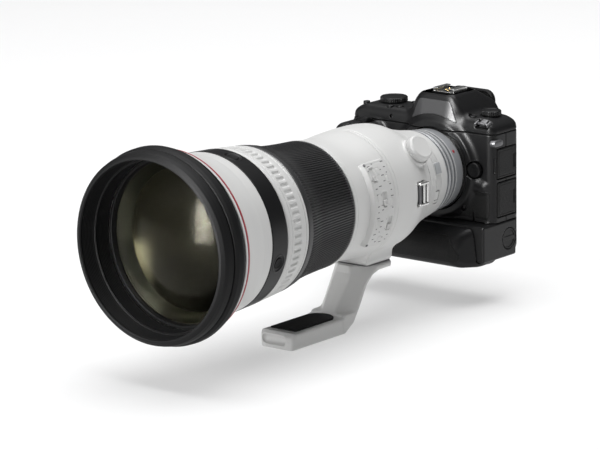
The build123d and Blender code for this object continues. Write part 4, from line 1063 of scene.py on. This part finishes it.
# ------------------------------------------------------------------ buttons, dials and levers
cap("release_key", [(-2.6, 6.4), (0.3, 6.4), (0.9, 5.8), (0.8, 5.0), (0.35, 3.0), (0.2, TIP)], SATIN,
    "lens_release_button", ["lens_release_button"], seat((RELEASE.x, FACE_Y - 2.6, RELEASE.z), -Y, X), 96,
    0.3)
cap("shutter_key", [(-3.6, 5.3), (0.2, 5.3), (0.75, 4.7), (0.55, 3.4), (0.3, 1.6), (0.25, TIP)], SATIN,
    "shutter_button", ["shutter_button"], seat((SHUTTER.x, SHUTTER.y, 145.6), Z, X), 80, 0.3)
cap("low_shutter_key", [(-1.5, 4.85), (0.2, 4.85), (0.7, 4.3), (0.5, 3.0), (0.3, TIP)], SATIN,
    "low_shutter_button", ["low_shutter_button"], seat((LEFT - 0.4, LOW_SHUTTER.y, LOW_SHUTTER.z), -X, Y), 80,
    0.3)


def toothed(count, depth, low, high):
    """The relief of a rim with teeth between two distances along the axis."""
    def relief(station, radius, turn):
        wave = 0.5 + 0.5 * np.cos(count * turn)
        return np.where((station > low) & (station < high) & (radius > 4.5),
            -depth * (1 - step(wave, 0.15, 0.6)), 0)
    return relief


cap("front_wheel", [(0, 5.6), (0.6, 6.9), (10.6, 6.9), (11.2, 5.6), (11.2, TIP)], SATIN, "front_dial",
    ["front_dial"], seat((-75.6, FRONT_DIAL.y, FRONT_DIAL.z), X, Y), 216, 0.3, pitch=0.8,
    relief=toothed(27, 0.55, 0.7, 10.5), sharp=50)
for name, spot, radius, count in (("top", TOP_DIAL, 12, 44), ("mode", MODE_DIAL, 8.5, 32)):
    dial = f"{name}_dial"
    cap(f"{name}_wheel", [(0, 3), (4, 3), (4, radius - 0.3), (4.8, radius), (7.6, radius - 0.1),
        (8.4, radius - 0.9), (8.5, radius - 2), (8.2, radius - 2.4), (8.1, TIP)], SATIN, dial, [dial],
        seat((spot.x, spot.y, box(dial)[0][2]), Z, X), count * 8, pitch=0.7,
        relief=toothed(count, 0.45, 4.6, 7.8), sharp=50)


def on_back(node):
    """A seat on the body's back at a CAD node's middle."""
    return seat((middle(node).x, BACK_Y, middle(node).z), Y, X)


cap("rear_wheel", [(-1.6, 3), (0.4, 3), (0.4, 14.7), (1.0, 15), (2.2, 14.7), (2.9, 13.6), (2.95, 10.4),
    (2.4, 9.8), (2.2, 9.2), (2.1, 5.4), (2.5, 4.9), (2.6, TIP)], SATIN, "rear_dial", ["rear_dial"],
    on_back("rear_dial"), 60 * 8, pitch=0.6, relief=toothed(60, 0.35, 0.9, 2.95), sharp=50)
for name, node, height, finish, relief in (("thumb_key", "thumb_button", 1.5, SATIN, None),
        ("stick_cap", "joystick", 1.6, RUBBER, toothed(18, 0.2, 0.2, 1.7))):
    cap(name, [(-0.9, 4.3), (height - 0.5, 4.3), (height, 3.8), (height - 0.1, 3.0), (height - 0.45, 1.6),
        (height - 0.5, TIP)], finish, node, [node], on_back(node), 72, relief=relief, pitch=0.6)
LEVER = np.array(joints["power_lever_turn"]["pos_m"]) / MM


def lever_field(p):
    hinge = (LEVER[0], LEVER[2])
    hub = sd_drum(p, 1, hinge, 6.9, BACK_Y + 0.4, BACK_Y + 2.4, 0.6)
    arm = sd_box(p, (LEVER[0], BACK_Y + 0.4, LEVER[2] - 2), (LEVER[0] + 12.4, BACK_Y + 2.4, LEVER[2] + 2),
        0.9)
    hub = carve(union(hub, arm, 1.2), sd_drum(p, 1, hinge, 4.6, BACK_Y + 2.0, BACK_Y + 4, 0.2), 0.3)
    return union(hub, sd_drum(p, 1, hinge, 2.95, BACK_Y - 0.9, BACK_Y + 1), 0.1)


surface("power_switch", lever_field, *box("power_lever"), 0.35, SATIN, "power_lever", ["power_lever"])
for n, (x, z) in enumerate(BACK_KEYS):
    lathe(f"back_key_{n}", [(-1, 2.75), (0.7, 2.75), (1.1, 2.3), (1.2, TIP)], SATIN, "camera",
        where=seat((x, BACK_Y - 0.6, z), Y, X), segments=48, closed=False, edge=0.2)
for n, (x, y) in enumerate(DECK_KEYS):
    lathe(f"deck_key_{n}", [(-1.5, 2.95), (0.9, 2.95), (1.3, 2.5), (1.35, TIP)], SATIN, "camera",
        where=seat((x, y, COVER_TOP + 11.6), Z, X), segments=48, closed=False, edge=0.2)

for n, (side, x) in enumerate(((-1, LEFT), (1, RIGHT))):
    plate(f"body_lug_{n}", seat((x, 176, 139), side * X, Y), (13.2, 5.6),
        [(0, -2), (0, 1.6), (0.5, 2.6), (1.2, 2.9)], DARK_METAL, "camera", ["body_lugs"], 2.6)
    rod(f"body_lug_eye_{n}", 6.6, 1.0, DARK_METAL, "camera", seat((x + side * 1.8, 172.7, 139), Y, Z), 0.2)
rod("shoulder_lug_post", 9.4, 1.2, DARK_METAL, "camera", seat((43, 173.6, 154.6), X, Z))
plate("shoulder_lug_tab", seat((47.7, 175.6, 155.2), (0.1, -0.35, 0.9), X), (5.6, 7.2), raised(1.2, 0.5, 0.6),
    DARK_METAL, "camera", corner=1.4)
for n, x in enumerate((41.4, 53.6)):
    plate(f"shoulder_lug_ear_{n}", seat((x, 174, 154.6), (0, -0.4, 0.9), X), (1.8, 6.4),
        raised(1.3, 0.5, 1.2), DARK_METAL, "camera", corner=0.8)

# ------------------------------------------------------------------ floor, light and camera
def studio(*glows, ambient=0.05):
    """A soft sky built from glows: each has a direction, its half widths along X, Y and Z, and a strength."""
    sky = bpy.context.scene.world or bpy.data.worlds.new("studio")
    bpy.context.scene.world = sky
    sky.use_nodes = True
    tree = sky.node_tree
    way = add_node(tree, "ShaderNodeTexCoord", {}).outputs["Generated"]
    total = ambient
    for direction, widths, strength in glows:
        offset = {0: way, 1: Vector(direction).normalized()}
        offset = add_node(tree, "ShaderNodeVectorMath", offset, operation="SUBTRACT").outputs[0]
        scaled = add_node(tree, "ShaderNodeVectorMath", {0: offset, 1: widths}, operation="DIVIDE").outputs[0]
        far = add_node(tree, "ShaderNodeVectorMath", {0: scaled}, operation="LENGTH").outputs["Value"]
        glow = fading(tree, far, 0.1, 1, strength, 0)
        total = add_node(tree, "ShaderNodeMath", {0: total, 1: glow}).outputs[0]
    light = tree.nodes["Background"]
    light.inputs["Color"].default_value = (0.98, 0.985, 1.0, 1)
    tree.links.new(total, light.inputs["Strength"])


def softbox(name, spot, aim, width, height, power, shines=True, reflects=True):
    """A lamp panel; one that only reflects is brightest in its middle and fades to its edges."""
    lamp = bpy.data.lights.new(name, "AREA")
    lamp.shape = "RECTANGLE"
    lamp.size, lamp.size_y = width, height
    lamp.energy = power
    holder = bpy.data.objects.new(name, lamp)
    holder.location = spot
    holder.rotation_euler = (Vector(aim) - Vector(spot)).to_track_quat("-Z", "Y").to_euler()
    bpy.context.scene.collection.objects.link(holder)
    holder.visible_camera = False
    holder.visible_diffuse = shines
    holder.visible_glossy = holder.visible_transmission = reflects
    if shines:
        return
    lamp.use_nodes = True
    tree = lamp.node_tree
    place = add_node(tree, "ShaderNodeNewGeometry", {}).outputs["Parametric"]
    offset = {0: place, 1: (0.5, 0.5, 0)}
    offset = add_node(tree, "ShaderNodeVectorMath", offset, operation="SUBTRACT").outputs[0]
    taller = {0: offset, 1: (1, 0.72, 0)}
    taller = add_node(tree, "ShaderNodeVectorMath", taller, operation="MULTIPLY").outputs[0]
    far = add_node(tree, "ShaderNodeVectorMath", {0: taller}, operation="LENGTH").outputs["Value"]
    tree.links.new(fading(tree, far, 0.1, 0.5, 1, 0), tree.nodes["Emission"].inputs["Strength"])


studio(((0, 0, 1), (0.9, 0.9, 0.6), 1.1), ((-0.35, -0.9, 0.35), (0.7, 0.6, 0.55), 0.8),
    ((0.9, 0.1, 0.5), (0.7, 0.7, 0.5), 0.05), ambient=0.08)
softbox("top_box", (-0.1, 0.4, 2.4), (-0.1, 0.4, 0), 2.6, 2.6, 80)
softbox("fill_box", (-0.9, -1.9, 0.55), (0, 0, 0.05), 0.9, 0.9, 15, reflects=False)
softbox("tall_box", (0.03, -1.1, 0.62), (0.01, -0.17, 0.5), 0.44, 1.6, 165, shines=False)

PAPER_SHADE, PAPER_GLOW = 0.44, 0.44  # the paper gives off light of its own, so that its shadows stay weak
paper = material("pale_paper", 3 * (PAPER_SHADE,), 0.9, 4, 0.05, 0.01, Emission_Strength=PAPER_GLOW,
    Emission_Color=(1, 1, 1, 1))
ground = bpy.data.meshes.new("floor")
reach = 40.0
ground.from_pydata([(-reach, -reach, 0), (reach, -reach, 0), (reach, reach, 0), (-reach, reach, 0)], [],
    [(0, 1, 2, 3)])
ground.materials.append(paper)
floor = bpy.data.objects.new("floor", ground)
bpy.context.scene.collection.objects.link(floor)

# The camera was fitted to the edges of the lens's rings in the photograph.
AZIMUTH, ELEVATION, ROLL = (math.radians(angle) for angle in (39.02, 13.17, -0.857))
DISTANCE, FOCAL_LENGTH = 3.041, 225.4
right = Vector((math.cos(AZIMUTH), math.sin(AZIMUTH), 0))
back = Vector((math.sin(AZIMUTH) * math.cos(ELEVATION), -math.cos(AZIMUTH) * math.cos(ELEVATION),
    math.sin(ELEVATION)))
up = back.cross(right)
target = Vector((0, -0.0175, AXIS * MM)) + right * 0.00316 - up * 0.01354
lens = bpy.data.cameras.new("camera")
lens.sensor_width = 36
lens.lens = FOCAL_LENGTH
lens.clip_start, lens.clip_end = 0.1, 200
camera = bpy.data.objects.new("camera", lens)
camera.location = target + back * DISTANCE
tilted = right * math.cos(ROLL) + up * math.sin(ROLL)
above = up * math.cos(ROLL) - right * math.sin(ROLL)
camera.rotation_euler = Matrix((tilted, above, back)).transposed().to_euler()
bpy.context.scene.collection.objects.link(camera)
bpy.context.scene.camera = camera
bpy.context.scene.view_settings.view_transform = "Standard"
